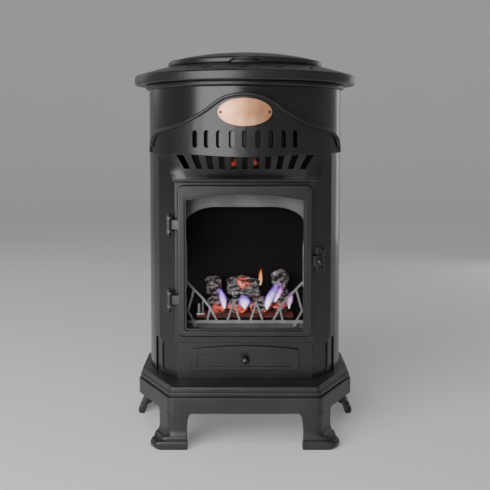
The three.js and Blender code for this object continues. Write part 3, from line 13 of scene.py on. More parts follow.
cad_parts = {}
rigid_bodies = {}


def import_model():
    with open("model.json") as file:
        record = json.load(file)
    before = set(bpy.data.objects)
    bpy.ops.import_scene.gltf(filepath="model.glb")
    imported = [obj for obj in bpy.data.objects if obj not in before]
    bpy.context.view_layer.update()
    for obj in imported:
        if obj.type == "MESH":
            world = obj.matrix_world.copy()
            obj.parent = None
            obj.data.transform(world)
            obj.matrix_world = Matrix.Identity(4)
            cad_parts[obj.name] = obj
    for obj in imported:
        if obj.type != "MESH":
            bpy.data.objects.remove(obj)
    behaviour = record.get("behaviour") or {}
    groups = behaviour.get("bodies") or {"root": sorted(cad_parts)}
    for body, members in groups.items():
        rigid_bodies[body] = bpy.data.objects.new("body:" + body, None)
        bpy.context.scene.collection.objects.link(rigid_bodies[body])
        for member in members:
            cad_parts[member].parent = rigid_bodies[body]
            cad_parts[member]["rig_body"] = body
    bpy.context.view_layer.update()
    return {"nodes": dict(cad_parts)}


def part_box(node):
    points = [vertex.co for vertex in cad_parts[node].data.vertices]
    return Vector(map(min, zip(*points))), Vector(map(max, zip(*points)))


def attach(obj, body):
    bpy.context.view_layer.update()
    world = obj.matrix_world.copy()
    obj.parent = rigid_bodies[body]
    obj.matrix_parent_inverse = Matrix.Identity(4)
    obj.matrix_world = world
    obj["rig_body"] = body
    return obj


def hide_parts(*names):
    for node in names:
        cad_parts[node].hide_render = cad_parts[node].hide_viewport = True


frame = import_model()

MM = 0.001
NODES = frame["nodes"]
ROOT = "stove_body"

# ------------------------------------------------------------------ camera

EYE_DISTANCE = 1761.4
EYE_HEIGHT = 612.3
# in degrees, downwards
EYE_PITCH = 3.72
LENS = 60.24
SENSOR_WIDTH = 36
SHIFT_UP = -0.12

# ------------------------------------------------------------------ places on the stove

DRUM_RADIUS = 203
FRONT_DEPTH = 150

# the hood: its highest point, how far its edge falls to the sides, and its two faces
HOOD_TOP = 690
HOOD_FALL = 124
HOOD_EDGE_RADIUS = DRUM_RADIUS + 11.9
HOOD_INNER = DRUM_RADIUS + 6.3
# its upper edge: the angle round the drum in degrees, and the share of the fall behind it
HOOD_CURVE = [
    (0, 0), (9.75, 0.051), (15.5, 0.143), (20.8, 0.255), (27.2, 0.359), (35, 0.455),
    (45.3, 0.528), (55.5, 0.595), (61.5, 0.694), (64.4, 0.806), (65, 0.936),
]
HOOD_CURVE_STEPS = 6
# the rolled edge's radius, how much thinner it is at its ends, and where it gets thinner
ROLL_RADIUS = 3.4
ROLL_THINNING = 1.6
ROLL_TAPER_START = 165
ROLL_TAPER = 30
# how far its thin ends move in, as a share of the thinning
ROLL_SINK = 0.3
BEAD_RADIUS = 2.8
BEAD_RISE = 3.2
BEAD_STEPS = 24
# rolls and beads are a little flatter than round
BAR_SQUASH = 0.9
BAR_SIDES = 12

# the louvre plate: its foot is straight, and its head follows the drum
LOUVRE_HALF = 142
LOUVRE_SPLAY = 0.27
LOUVRE_SPLAY_POWER = 2
LOUVRE_SLANT = 0.09
LOUVRE_FOOT = 515
LOUVRE_RISE = 7
LOUVRE_HEIGHT = 64
LOUVRE_WALL = 4.6
LOUVRE_TUCK = 0.8
LOUVRE_END_STEPS = 10
LOUVRE_EDGE = 0.9
LOUVRE_SLOTS = 11
LOUVRE_PITCH = 22
LOUVRE_SLOT_HALF = 5.25
LOUVRE_SLOT_ROWS = (27, 54)
# heights of the rows of faces below the slots, and between their ends
LOUVRE_ROWS_BELOW = (13.5, 20)
LOUVRE_ROWS_BETWEEN = (36, 45)

# the base: what lies further out than these is its outer edge
BASE_SIDE = 195
BASE_FRONT = 190
BASE_CORNER = 285
BASE_TIERS_FOOT = 95
BASE_TOP_TIER = 119

# the door: the edges within this band of its outline, in front of this depth, are rounder
DOOR_SIDE = 125
DOOR_BAND = 8
DOOR_FACE = -160

# the coals: how finely they are cut up, and how craggy they are
COAL_VOXEL = 1.6
COAL_SMOOTHING = 8
COAL_CRAGS = 55
COAL_RIDGES = 90
COAL_ROUGHNESS = 1.5
COAL_SEED_STEP = 3.7
COAL_HOT_SPOT = (-4, -116, 311)

# the flames are lenses this deep for their width, and no deeper than this
FLAME_DEPTH_SHARE = 0.3
FLAME_DEEPEST = 2.5
FLAME_SIDES = 24
FLAME_STEPS = 5

# the floor and backdrop, in metres
FLOOR_REACH = 5.0
FLOOR_BEND = 1.5
WALL_HEIGHT = 6.0
FLOOR_SIDES = 64
FLOOR_BEND_STEPS = 10


def make_camera():
    data = bpy.data.cameras.new("camera")
    data.lens = LENS
    data.sensor_width = SENSOR_WIDTH
    data.shift_y = SHIFT_UP
    camera = bpy.data.objects.new("camera", data)
    camera.location = (0, -EYE_DISTANCE * MM, EYE_HEIGHT * MM)
    camera.rotation_euler = (math.radians(90 - EYE_PITCH), 0, 0)
    bpy.context.scene.collection.objects.link(camera)
    bpy.context.scene.camera = camera


# ------------------------------------------------------------------ shader values


class Shade:
    """A value that varies over a surface; its operators add Math nodes."""

    def __init__(self, finish, socket):
        self.finish = finish
        self.socket = socket

    def math(self, operation, other):
        return self.finish.node("ShaderNodeMath", {"operation": operation}, {0: self, 1: other})

    def __add__(self, other):
        return self.math("ADD", other)

    def __radd__(self, other):
        return self.math("ADD", other)

    def __sub__(self, other):
        return self.math("SUBTRACT", other)

    def __rsub__(self, other):
        return self.finish.node("ShaderNodeMath", {"operation": "SUBTRACT"}, {0: other, 1: self})

    def __mul__(self, other):
        return self.math("MULTIPLY", other)

    def __rmul__(self, other):
        return self.math("MULTIPLY", other)

    def __pow__(self, other):
        return self.math("POWER", other)

    def between(self, low, high):
        """0 below low and 1 above high, with a smooth step in the middle."""
        return self.finish.node(
            "ShaderNodeMapRange",
            {"interpolation_type": "SMOOTHSTEP"},
            {"Value": self, "From Min": low, "From Max": high},
        )


class Finish:
    """A material in the making."""

    def __init__(self, name):
        self.material = bpy.data.materials.new(name)
        self.material.use_nodes = True
        self.nodes = self.material.node_tree.nodes
        self.links = self.material.node_tree.links
        self.shader = self.nodes["Principled BSDF"]

    def feed(self, socket, value):
        """Links what varies to a socket, or sets a plain value on it."""
        if isinstance(value, Shade):
            self.links.new(value.socket, socket)
        elif socket.type == "RGBA" and len(value) == 3:
            socket.default_value = (*value, 1)
        else:
            socket.default_value = value

    def node(self, kind, settings=None, sockets=None, output=0):
        """Adds a node: its settings first, then what its sockets take, by name or number."""
        made = self.nodes.new(kind)
        for key, value in (settings or {}).items():
            if key == "stops":
                ramp = made.color_ramp
                while len(ramp.elements) < len(value):
                    ramp.elements.new(0.5)
                for element, (place, colour) in zip(ramp.elements, value):
                    element.position = place
                    element.color = (*colour, 1)
            else:
                setattr(made, key, value)
        for key, value in (sockets or {}).items():
            self.feed(made.inputs[key], value)
        return Shade(self, made.outputs[output])

    def place(self):
        return self.node("ShaderNodeTexCoord", output="Object")

    def axis(self, vector, letter):
        """A vector's X, Y or Z."""
        return self.node("ShaderNodeSeparateXYZ", None, {0: vector}, letter)

    def stretched(self, x, y, z):
        """The object's coordinates, stretched along each axis."""
        return self.node(
            "ShaderNodeVectorMath", {"operation": "MULTIPLY"}, {0: self.place(), 1: (x, y, z)}
        )

    def distance(self, spot):
        """How far it is, in metres, to a spot given in millimetres."""
        spot = tuple(length * MM for length in spot)
        return self.node(
            "ShaderNodeVectorMath", {"operation": "DISTANCE"}, {0: self.place(), 1: spot}, "Value"
        )

    def noise(self, scale, detail=3.0, place=None):
        sockets = {"Vector": place or self.place(), "Scale": scale, "Detail": detail}
        return self.node("ShaderNodeTexNoise", None, sockets)

    def cells(self, scale, feature="F1", output="Distance"):
        sockets = {"Vector": self.place(), "Scale": scale}
        return self.node("ShaderNodeTexVoronoi", {"feature": feature}, sockets, output)

    def mixed(self, share, first, second):
        """A colour between two; a Mix node's colours are its sockets 6 and 7."""
        return self.node(
            "ShaderNodeMix", {"data_type": "RGBA"}, {0: share, 6: first, 7: second}, 2
        )

    def ramp(self, share, stops):
        """A colour from stops, each a share and its colour."""
        return self.node("ShaderNodeValToRGB", {"stops": stops}, {0: share})

    def bump(self, height, strength, distance):
        sockets = {"Height": height, "Strength": strength, "Distance": distance}
        return self.node("ShaderNodeBump", None, sockets)

    def set(self, **named):
        """Feeds the shader's sockets, named with _ for a space, and gives the material."""
        for key, value in named.items():
            self.feed(self.shader.inputs[key.replace("_", " ")], value)
        return self.material


def even(level):
    """A colour without a tint."""
    return (level, level, level)


# ------------------------------------------------------------------ finishes

GLOSS_PAINT_IOR = 1.55


def black_casting(name, grain, roughness, dark, light):
    """Satin black paint over sand-cast iron: grain is how rough the casting feels."""
    finish = Finish(name)
    coarse = finish.noise(150, 4)
    fine = finish.noise(620, 2)
    patches = finish.noise(9)
    specks = fine.between(0.58, 0.75) * coarse.between(0.45, 0.65)
    colour = finish.mixed(patches.between(0.35, 0.7), even(dark), even(light))
    return finish.set(
        Base_Color=finish.mixed(specks * 0.4, colour, (0.09, 0.09, 0.088)),
        Roughness=roughness - 0.06 + patches * 0.08 + coarse * 0.1,
        IOR=GLOSS_PAINT_IOR,
        Normal=finish.bump(coarse * 0.6 + fine * 0.4, grain, 0.0007),
    )


def black_enamel():
    """Smooth enamel on the rolled drum, with a faint orange peel."""
    finish = Finish("drum_enamel")
    peel = finish.noise(300, 2)
    patches = finish.noise(5)
    return finish.set(
        Base_Color=finish.mixed(patches, (0.006, 0.006, 0.0065), (0.01, 0.01, 0.011)),
        Roughness=0.2 + patches * 0.08,
        IOR=GLOSS_PAINT_IOR,
        Normal=finish.bump(peel, 0.05, 0.0003),
    )


def duct_enamel():
    """The sheet between the bottle and the fire. Red light from the fire lies on its front, in
    broken spots behind the middle of the louvre."""
    finish = Finish("duct_enamel")
    patches = finish.noise(45)
    place = finish.place()
    across = finish.axis(place, "X")
    height = finish.axis(place, "Z")
    normal = finish.node("ShaderNodeNewGeometry", output="Normal")
    front = (finish.axis(normal, "Y") * -1).between(0.4, 0.6)
    near_middle = 1 - (across * across).between(0.0022, 0.0048)
    in_band = height.between(0.512, 0.53) * (1 - height.between(0.552, 0.566))
    glow = near_middle * in_band * front * patches.between(0.5, 0.66)
    return finish.set(
        Base_Color=finish.mixed(patches, (0.02, 0.018, 0.018), (0.035, 0.03, 0.03)),
        Roughness=0.45 + patches * 0.1,
        Emission_Color=finish.mixed(glow, (0, 0, 0), (0.75, 0.1, 0.04)),
        Emission_Strength=0.4,
    )


def grey_plate(name, light, dark, roughness):
    """Heat-proof grey paint, sooted and dulled by the fire."""
    finish = Finish(name)
    soot = finish.noise(24, 4)
    grain = finish.noise(400, 2)
    sooted = (dark, dark * 0.98, dark * 0.96)
    return finish.set(
        Base_Color=finish.mixed(soot.between(0.3, 0.75), even(light), sooted),
        Roughness=roughness + soot * 0.15,
        Normal=finish.bump(grain, 0.15, 0.0003),
    )


def soot_and_painted_shade_steel():
    """The firebox walls, black with soot and darker still with painted shade: their colour is near
    zero, so that the inside of the firebox stays dark.
    """
    finish = Finish("firebox_soot_and_painted_shade")
    soot = finish.noise(30, 4)
    return finish.set(
        # painted shade: colours near zero, darker than soot, keep the inside of the firebox dark
        Base_Color=finish.mixed(soot, (0.0012, 0.0005, 0.0005), (0.004, 0.0016, 0.0016)),
        Roughness=0.8 + soot * 0.1,
        Specular_IOR_Level=0.15,
    )


def bare_steel():
    """Zinc-plated steel with its spangle."""
    finish = Finish("zinc_steel")
    spangle = finish.cells(160, output="Color")
    tone = finish.node("ShaderNodeSeparateColor", None, {0: spangle})
    return finish.set(
        Base_Color=finish.mixed(tone, (0.36, 0.37, 0.38), even(0.5)),
        Metallic=1.0,
        Roughness=0.3 + tone * 0.15,
    )


def black_steel_work(name, dark, worn_tone, roughness):
    """Blackened steel, rubbed bright here and there."""
    finish = Finish(name)
    worn = finish.noise(90)
    return finish.set(
        Base_Color=finish.mixed(worn.between(0.5, 0.75), even(dark), even(worn_tone)),
        Metallic=0.6,
        Roughness=roughness + worn * 0.15,
    )


def rose_copper():
    """Lightly brushed copper with a soft rose tone."""
    finish = Finish("rose_copper")
    brushed = finish.noise(60, 3, finish.stretched(1, 8, 30))
    cloud = finish.noise(35)
    fine = finish.noise(420, 2)
    return finish.set(
        Base_Color=finish.mixed(cloud.between(0.3, 0.7), (0.7, 0.33, 0.17), (0.85, 0.46, 0.28)),
        Metallic=1.0,
        Roughness=0.34 + brushed * 0.14,
        Normal=finish.bump(brushed + fine * 0.4, 0.14, 0.0003),
    )


def turned_brass():
    """Brass with the lathe's fine rings."""
    finish = Finish("turned_brass")
    rings = finish.noise(50, 2, finish.stretched(1, 1, 24))
    return finish.set(
        Base_Color=finish.mixed(rings, (0.5, 0.36, 0.13), (0.66, 0.5, 0.22)),
        Metallic=1.0,
        Roughness=0.25 + rings * 0.15,
    )


def moulded_plastic(name, colour):
    """Hard plastic with a fine spark-eroded grain."""
    finish = Finish(name)
    grain = finish.noise(600, 2)
    shaded = tuple(0.8 * channel for channel in colour)
    return finish.set(
        Base_Color=finish.mixed(finish.noise(12), colour, shaded),
        Roughness=0.42 + grain * 0.08,
        Normal=finish.bump(grain, 0.1, 0.0002),
    )


def coal_ceramic():
    """Rough grey ceramic: ash on top, dark cracks, and a red glow low down and in one patch."""
    finish = Finish("coal_ceramic")
    rough = finish.noise(110, 5)
    broad = finish.noise(45)
    streaks = finish.noise(60, 4, finish.stretched(1.2, 2.5, 3.4))
    crack = finish.cells(62, "DISTANCE_TO_EDGE")
    low = 1 - finish.axis(finish.place(), "Z").between(0.252, 0.284)
    patch = 1 - finish.distance(COAL_HOT_SPOT).between(0.008, 0.021)
    heat = (
        low * broad.between(0.44, 0.62) * 0.7
        + patch * rough.between(0.38, 0.54) * 0.9
        + broad.between(0.6, 0.72) * 0.3
    ) * (1 - crack.between(0.05, 0.3) * 0.45)
    ash = finish.mixed(streaks.between(0.42, 0.6), (0.012, 0.01, 0.01), (0.2, 0.185, 0.175))
    ash = finish.mixed(rough.between(0.56, 0.7), ash, (0.42, 0.39, 0.37))
    glow = finish.ramp(heat, [
        (0.0, (0, 0, 0)), (0.3, (0.06, 0.004, 0.003)),
        (0.65, (0.7, 0.05, 0.02)), (1.0, (1.0, 0.2, 0.07)),
    ])
    return finish.set(
        Base_Color=ash,
        Roughness=0.95,
        Specular_IOR_Level=0.2,
        Emission_Color=glow,
        Emission_Strength=1.3,
        Normal=finish.bump(rough + streaks, 0.8, 0.0025),
    )


def glowing_embers():
    """The bed under the coals: dark lumps with red light between them."""
    finish = Finish("glowing_embers")
    shade = finish.cells(130) * 0.7 + finish.noise(34) * 0.65 - 0.1
    glow = finish.ramp(shade, [
        (0.0, (1.0, 0.2, 0.08)), (0.22, (0.4, 0.03, 0.02)), (0.5, (0.03, 0.002, 0.002)),
    ])
    return finish.set(
        Base_Color=(0.05, 0.02, 0.016),
        Roughness=0.9,
        Emission_Color=glow,
        Emission_Strength=0.8,
    )


def flame(name, stops, strength):
    """A flame's glow: hottest low in its middle, and fading towards its outline and its tip."""
    finish = Finish(name)
    across = finish.node("ShaderNodeAttribute", {"attribute_name": "across"}, output="Fac")
    along = finish.node("ShaderNodeAttribute", {"attribute_name": "along"}, output="Fac")
    flicker = finish.noise(120, 3, finish.stretched(1, 1, 0.4))
    middle = 1 - across * across
    heat = middle * (1 - along) * 1.25 + (flicker - 0.5) * 0.5
    return finish.set(
        Base_Color=(0, 0, 0),
        Roughness=1.0,
        Emission_Color=finish.ramp(heat, stops),
        Emission_Strength=strength,
        Alpha=middle ** 1.3 * (1 - along ** 1.6) * (0.35 + flicker.between(0.3, 0.62) * 0.6),
    )


def fire_glass():
    """Clear heat-proof glass with a little haze."""
    finish = Finish("fire_glass")
    haze = finish.noise(6)
    return finish.set(
        Base_Color=(0.02, 0.02, 0.021),
        Roughness=0.04 + haze * 0.05,
        Alpha=0.03 + haze * 0.02,
    )


def floor_paint():
    """Pale matt paint. What the camera and reflections see of it is a little brighter."""
    finish = Finish("floor_paint")
    cloud = finish.noise(1.5, 2)
    seen = finish.node("ShaderNodeLightPath", output="Is Camera Ray")
    mirrored = finish.node("ShaderNodeLightPath", output="Is Glossy Ray")
    through = finish.node("ShaderNodeLightPath", output="Is Transmission Ray")
    share = seen.math("MAXIMUM", mirrored).math("MAXIMUM", through)
    return finish.set(
        Base_Color=finish.mixed(cloud, even(0.84), even(0.88)),
        Roughness=0.75,
        Emission_Color=finish.mixed(share, even(0), even(0.15)),
        Emission_Strength=1.0,
    )


# ------------------------------------------------------------------ mesh tools


def add_object(name, mesh, material, body=ROOT):
    """Puts a mesh in the scene as a piece that moves with a body."""
    piece = bpy.data.objects.new(name, mesh)
    bpy.context.scene.collection.objects.link(piece)
    mesh.materials.clear()
    mesh.materials.append(material)
    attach(piece, body)
    return piece


def made_mesh(name, work):
    """The mesh of what was worked out in work, which ends there."""
    mesh = bpy.data.meshes.new(name)
    work.to_mesh(mesh)
    work.free()
    return mesh


def add_ring(work, spots):
    return [work.verts.new(spot) for spot in spots]


def skin(work, rings):
    """Faces from each ring of vertices to the next."""
    for first, second in zip(rings, rings[1:]):
        for corner, vertex in enumerate(first):
            after = (corner + 1) % len(first)
            work.faces.new((vertex, first[after], second[after], second[corner]))


def cap(work, rings):
    """A face over the first ring and one over the last."""
    work.faces.new(list(reversed(rings[0])))
    work.faces.new(rings[-1])


def turns(count):
    """Angles evenly round a circle."""
    return [2 * math.pi * corner / count for corner in range(count)]


def apply_modifiers(piece):
    graph = bpy.context.evaluated_depsgraph_get()
    made = bpy.data.meshes.new_from_object(piece.evaluated_get(graph))
    piece.modifiers.clear()
    piece.data = made


def smooth(piece, angle=32):
    """Shades the piece smooth, apart from edges sharper than an angle in degrees."""
    mesh = piece.data
    mesh.shade_smooth()
    mesh.set_sharp_from_angle(angle=math.radians(angle))


def clean_copy(node):
    """A copy of a construction node's mesh, with its flat faces whole again."""
    mesh = NODES[node].data.copy()
    work = bmesh.new()
    work.from_mesh(mesh)
    bmesh.ops.remove_doubles(work, verts=work.verts, dist=0.00001)
    bmesh.ops.dissolve_degenerate(work, edges=work.edges, dist=0.00002)
    bmesh.ops.dissolve_limit(
        work, angle_limit=math.radians(0.6), verts=work.verts, edges=work.edges
    )
    work.to_mesh(mesh)
    work.free()
    if "custom_normal" in mesh.attributes:
        mesh.attributes.remove(mesh.attributes["custom_normal"])
    return mesh


def weigh_edges(mesh, angle, rule):
    """Sets how far each sharp outer edge is rounded: rule(middle in millimetres) gives a share."""
    work = bmesh.new()
    work.from_mesh(mesh)
    layer = work.edges.layers.float.new("bevel_weight_edge")
    for edge in work.edges:
        if edge.is_convex and edge.calc_face_angle(0) > math.radians(angle):
            middle = (edge.verts[0].co + edge.verts[1].co) / 2 / MM
            edge[layer] = rule(middle)
    work.to_mesh(mesh)
    work.free()


def soften(piece, width, segments=2, angle=30, rule=None):
    """Rounds the piece's edges, so that they catch the light."""
    if rule:
        weigh_edges(piece.data, angle, rule)
    bevel = piece.modifiers.new("bevel", "BEVEL")
    bevel.width = width * MM
    bevel.segments = segments
    bevel.limit_method = "WEIGHT" if rule else "ANGLE"
    bevel.angle_limit = math.radians(angle)
    bevel.use_clamp_overlap = False
    bevel.miter_outer = "MITER_ARC"
    apply_modifiers(piece)
    smooth(piece)
    weighted = piece.modifiers.new("weighted", "WEIGHTED_NORMAL")
    weighted.keep_sharp = True
    apply_modifiers(piece)


def dressed(node, material, width, segments=2, rule=None):
    """The node's own shape with rounded edges, in place of the faceted solid."""
    piece = add_object(f"{node}_finished", clean_copy(node), material, NODES[node]["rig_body"])
    if width:
        soften(piece, width, segments, rule=rule)
    else:
        smooth(piece)
    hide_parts(node)


def bar(name, points, radii, material):
    """A bar along points in millimetres, squashed a little across its depth."""
    spots = [Vector(point) for point in points]
    work = bmesh.new()
    rings = []
    for i, (spot, radius) in enumerate(zip(spots, radii)):
        run = (spots[min(i + 1, len(spots) - 1)] - spots[max(i - 1, 0)]).normalized()
        out = Vector((spot.x, spot.y, 0)).normalized()
        out = (out - run * out.dot(run)).normalized()
        side = run.cross(out)
        rings.append(add_ring(work, [
            (spot + (side * math.cos(turn) + out * BAR_SQUASH * math.sin(turn)) * radius) * MM
            for turn in turns(BAR_SIDES)
        ]))
    skin(work, rings)
    cap(work, rings)
    bmesh.ops.recalc_face_normals(work, faces=work.faces)
    piece = add_object(name, made_mesh(name, work), material)
    smooth(piece, 50)


# ------------------------------------------------------------------ hood and louvre


def eased(a, b, c, d, share):
    """A smooth curve through four values, at a share of the way from b to c."""
    return 0.5 * (
        2 * b + (c - a) * share + (2 * a - 5 * b + 4 * c - d) * share * share
        + (3 * b - a - 3 * c + d) * share ** 3
    )


def hood_edge(inset):
    """Points along the hood's upper edge from left to right, inset from the edge."""
    stations = [(angle, HOOD_TOP - share * HOOD_FALL) for angle, share in HOOD_CURVE]
    half = []
    for i in range(len(stations) - 1):
        before = stations[max(i - 1, 0)]
        start, end = stations[i], stations[i + 1]
        after = stations[min(i + 2, len(stations) - 1)]
        for step in range(HOOD_CURVE_STEPS):
            share = step / HOOD_CURVE_STEPS
            half.append(tuple(
                eased(*values, share) for values in zip(before, start, end, after)
            ))
    half.append(stations[-1])
    flat = [(HOOD_EDGE_RADIUS * math.radians(angle), z) for angle, z in half]
    whole = [(-x, z) for x, z in reversed(flat[1:])] + flat
    points = []
    for i, (x, z) in enumerate(whole):
        left, right = whole[max(i - 1, 0)], whole[min(i + 1, len(whole) - 1)]
        run = Vector((right[0] - left[0], right[1] - left[1])).normalized()
        angle = (x + run.y * inset) / HOOD_EDGE_RADIUS
        points.append((
            HOOD_EDGE_RADIUS * math.sin(angle), -HOOD_EDGE_RADIUS * math.cos(angle),
            z - run.x * inset,
        ))
    return points


def louvre_spot(share, rise):
    """A spot on the louvre plate: share runs from -1 to 1 across, rise is over its foot."""
    climb = max(rise - LOUVRE_RISE, 0) / (LOUVRE_HEIGHT - LOUVRE_RISE)
    low_x = share * LOUVRE_HALF
    angle = math.asin(low_x * (1 + LOUVRE_SPLAY * abs(share) ** LOUVRE_SPLAY_POWER) / HOOD_INNER)
    radius = HOOD_INNER - LOUVRE_TUCK
    low_depth = FRONT_DEPTH + LOUVRE_WALL
    x = low_x + (radius * math.sin(angle) - low_x) * climb
    depth = low_depth + (radius * math.cos(angle) - low_depth) * climb
    return Vector((x, -depth, LOUVRE_FOOT + rise))


def slanted(share, rise):
    """The slots lean outwards, more so towards the ends."""
    low, high = LOUVRE_SLOT_ROWS
    lean = (2 * rise - low - high) / (high - low)
    return share + LOUVRE_SLANT * max(-1, min(lean, 1)) * share ** 3 * (1 - share ** 2)


def louvre(material):
    """The splayed louvre plate under the hood, with its slots."""
    half = LOUVRE_SLOT_HALF / LOUVRE_HALF
    middles = [
        (i - (LOUVRE_SLOTS - 1) / 2) * LOUVRE_PITCH / LOUVRE_HALF for i in range(LOUVRE_SLOTS)
    ]
    cuts = sorted(middle + side * half for middle in middles for side in (-1, 1))
    outer = [
        cuts[-1] + (1 - cuts[-1]) * (i + 1) / LOUVRE_END_STEPS for i in range(LOUVRE_END_STEPS)
    ]
    shares = [-share for share in reversed(outer)] + cuts + outer
    low, high = LOUVRE_SLOT_ROWS
    rises = [
        0, LOUVRE_RISE, *LOUVRE_ROWS_BELOW, low, *LOUVRE_ROWS_BETWEEN, high, LOUVRE_HEIGHT
    ]
    work = bmesh.new()
    grid = [
        add_ring(work, [louvre_spot(slanted(share, rise), rise) * MM for rise in rises])
        for share in shares
    ]
    for column in range(len(shares) - 1):
        middle = (shares[column] + shares[column + 1]) / 2
        in_slot = any(abs(middle - slot) < half for slot in middles)
        for row in range(len(rises) - 1):
            if in_slot and low <= rises[row] < high:
                continue
            work.faces.new((
                grid[column][row], grid[column + 1][row],
                grid[column + 1][row + 1], grid[column][row + 1],
            ))
    piece = add_object("louvre_plate", made_mesh("louvre_plate", work), material)
    wall = piece.modifiers.new("wall", "SOLIDIFY")
    wall.thickness = LOUVRE_WALL * MM
    wall.offset = -1
    apply_modifiers(piece)
    soften(piece, LOUVRE_EDGE, 2, 40)
    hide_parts("louvre_panel")


def trim(material):
    """The rolled edge of the hood and the bead along the louvre's foot."""
    spots = []
    radii = []
    for x, y, z in hood_edge(ROLL_RADIUS):
        thinning = ROLL_THINNING * min(max((abs(x) - ROLL_TAPER_START) / ROLL_TAPER, 0), 1)
        sunk = 1 - ROLL_SINK * thinning / HOOD_EDGE_RADIUS
        spots.append((x * sunk, y * sunk, z))
        radii.append(ROLL_RADIUS - thinning)
    bar("hood_roll", spots, radii, material)
    end = LOUVRE_HALF - 1
    depth = -(FRONT_DEPTH + LOUVRE_WALL)
    bead = [
        (-end + 2 * end * i / BEAD_STEPS, depth, LOUVRE_FOOT + BEAD_RISE)
        for i in range(BEAD_STEPS + 1)
    ]
    bar("louvre_bead", bead, [BEAD_RADIUS] * len(bead), material)


# ------------------------------------------------------------------ fire


def coal_lump(node, material, seed):
    """A lump of coal: the solid, rounded and broken up by noise."""
    piece = add_object(f"{node}_lump", clean_copy(node), material)
    remesh = piece.modifiers.new("remesh", "REMESH")
    remesh.mode = "VOXEL"
    remesh.voxel_size = COAL_VOXEL * MM
    soft = piece.modifiers.new("soft", "SMOOTH")
    soft.iterations = COAL_SMOOTHING
    apply_modifiers(piece)
    shift = Vector((seed, 2 * seed, -seed))
    for vertex in piece.data.vertices:
        crag = noise.fractal(vertex.co * COAL_CRAGS + shift, 1.0, 2.2, 4) * 2.0
        ridge = 1.6 * abs(noise.noise(vertex.co * COAL_RIDGES + shift)) - 0.6
        vertex.co += vertex.normal * (crag + ridge) * COAL_ROUGHNESS * MM
    smooth(piece, 180)
    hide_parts(node)


def flame_tongue(name, depth, material, stations):
    """A flame: a thin lens whose rows are (x, height, half width) in millimetres, foot first."""
    spots = []
    for first, second in zip(stations, stations[1:]):
        for step in range(FLAME_STEPS):
            share = step / FLAME_STEPS
            spots.append([a + (b - a) * share for a, b in zip(first, second)])
    spots.append(stations[-1])
    work = bmesh.new()
    across = work.verts.layers.float.new("across")
    along = work.verts.layers.float.new("along")
    rings = []
    for i, (x, z, half) in enumerate(spots):
        thickness = min(FLAME_DEPTH_SHARE * half, FLAME_DEEPEST)
        ring = add_ring(work, [
            (
                (x + half * math.cos(turn)) * MM,
                (-depth + thickness * math.sin(turn)) * MM,
                z * MM,
            )
            for turn in turns(FLAME_SIDES)
        ])
        for vertex, turn in zip(ring, turns(FLAME_SIDES)):
            vertex[across] = abs(math.cos(turn))
            vertex[along] = i / (len(spots) - 1)
        rings.append(ring)
    skin(work, rings)
    cap(work, rings)
    piece = add_object(name, made_mesh(name, work), material)
    smooth(piece, 60)


def flames():
    violet = flame("flame_violet", [
        (0.0, (0.1, 0.03, 0.45)), (0.3, (0.36, 0.14, 0.95)), (0.6, (0.72, 0.55, 1.0)),
        (0.9, (1.0, 0.96, 1.0)),
    ], 2.4)
    magenta = flame("flame_magenta", [
        (0.0, (0.2, 0.02, 0.3)), (0.35, (0.6, 0.12, 0.65)), (0.7, (0.95, 0.6, 0.9)),
        (0.95, (1.0, 0.95, 1.0)),
    ], 1.9)
    orange = flame("flame_orange", [
        (0.0, (0.6, 0.08, 0.01)), (0.4, (1.0, 0.32, 0.06)), (0.8, (1.0, 0.75, 0.4)),
    ], 2.2)
    flame_tongue("flame_left", 121, violet, [
        (-42, 257, 0.8), (-43, 265, 6), (-44, 274, 9), (-46, 284, 9), (-50, 294, 6), (-53, 302, 1),
    ])
    flame_tongue("flame_middle", 121, violet, [
        (-1, 257, 0.8), (-1, 263, 8), (-1, 269, 13), (-2, 275, 14), (-2, 281, 10), (-3, 288, 3),
    ])
    flame_tongue("flame_right", 121, violet, [
        (44, 255, 0.8), (45, 264, 6.5), (48, 274, 10), (53, 285, 11), (58, 295, 9.5),
        (63, 305, 6), (67, 315, 1),
    ])
    flame_tongue("flame_right_side", 119, magenta, [
        (60, 270, 1), (65, 280, 6), (70, 291, 7), (73, 301, 5), (76, 311, 1),
    ])
    flame_tongue("flame_far_right", 121, magenta, [
        (89, 257, 0.8), (89.5, 265, 4.5), (90, 273, 8), (91, 281, 7.5), (93, 289, 3.5),
        (94, 295, 1),
    ])
    flame_tongue("flame_tip", 104, orange, [
        (31, 302, 2), (31, 310, 4.8), (31.5, 319, 4.8), (32, 328, 3), (33, 339, 0.6),
    ])


# ------------------------------------------------------------------ floor, world and lights


def make_floor(material):
    """A plain round floor that curves up into a plain wall on all sides."""
    profile = [(FLOOR_REACH, 0.0)]
    for i in range(1, FLOOR_BEND_STEPS + 1):
        angle = math.pi / 2 * i / FLOOR_BEND_STEPS
        profile.append((
            FLOOR_REACH + FLOOR_BEND * math.sin(angle), FLOOR_BEND * (1 - math.cos(angle))
        ))
    profile.append((FLOOR_REACH + FLOOR_BEND, WALL_HEIGHT))
    work = bmesh.new()
    rings = [
        add_ring(work, [
            (radius * math.cos(turn), radius * math.sin(turn), z) for turn in turns(FLOOR_SIDES)
        ])
        for radius, z in profile
    ]
    work.faces.new(rings[0])
    # from the wall's top down, so that the faces look inwards
    skin(work, rings[::-1])
    mesh = made_mesh("floor", work)
    mesh.shade_smooth()
    floor = bpy.data.objects.new("floor", mesh)
    mesh.materials.append(material)
    bpy.context.scene.collection.objects.link(floor)


def area_light(name, place, aim, width, height, power):
    """A rectangular lamp; lengths are in metres and its power is in watts."""
    data = bpy.data.lights.new(name, "AREA")
    data.shape = "RECTANGLE"
    data.size = width
    data.size_y = height
    data.energy = power
    light = bpy.data.objects.new(name, data)
    light.location = place
    light.rotation_mode = "QUATERNION"
    light.rotation_quaternion = (Vector(aim) - Vector(place)).to_track_quat("-Z", "Y")
    bpy.context.scene.collection.objects.link(light)


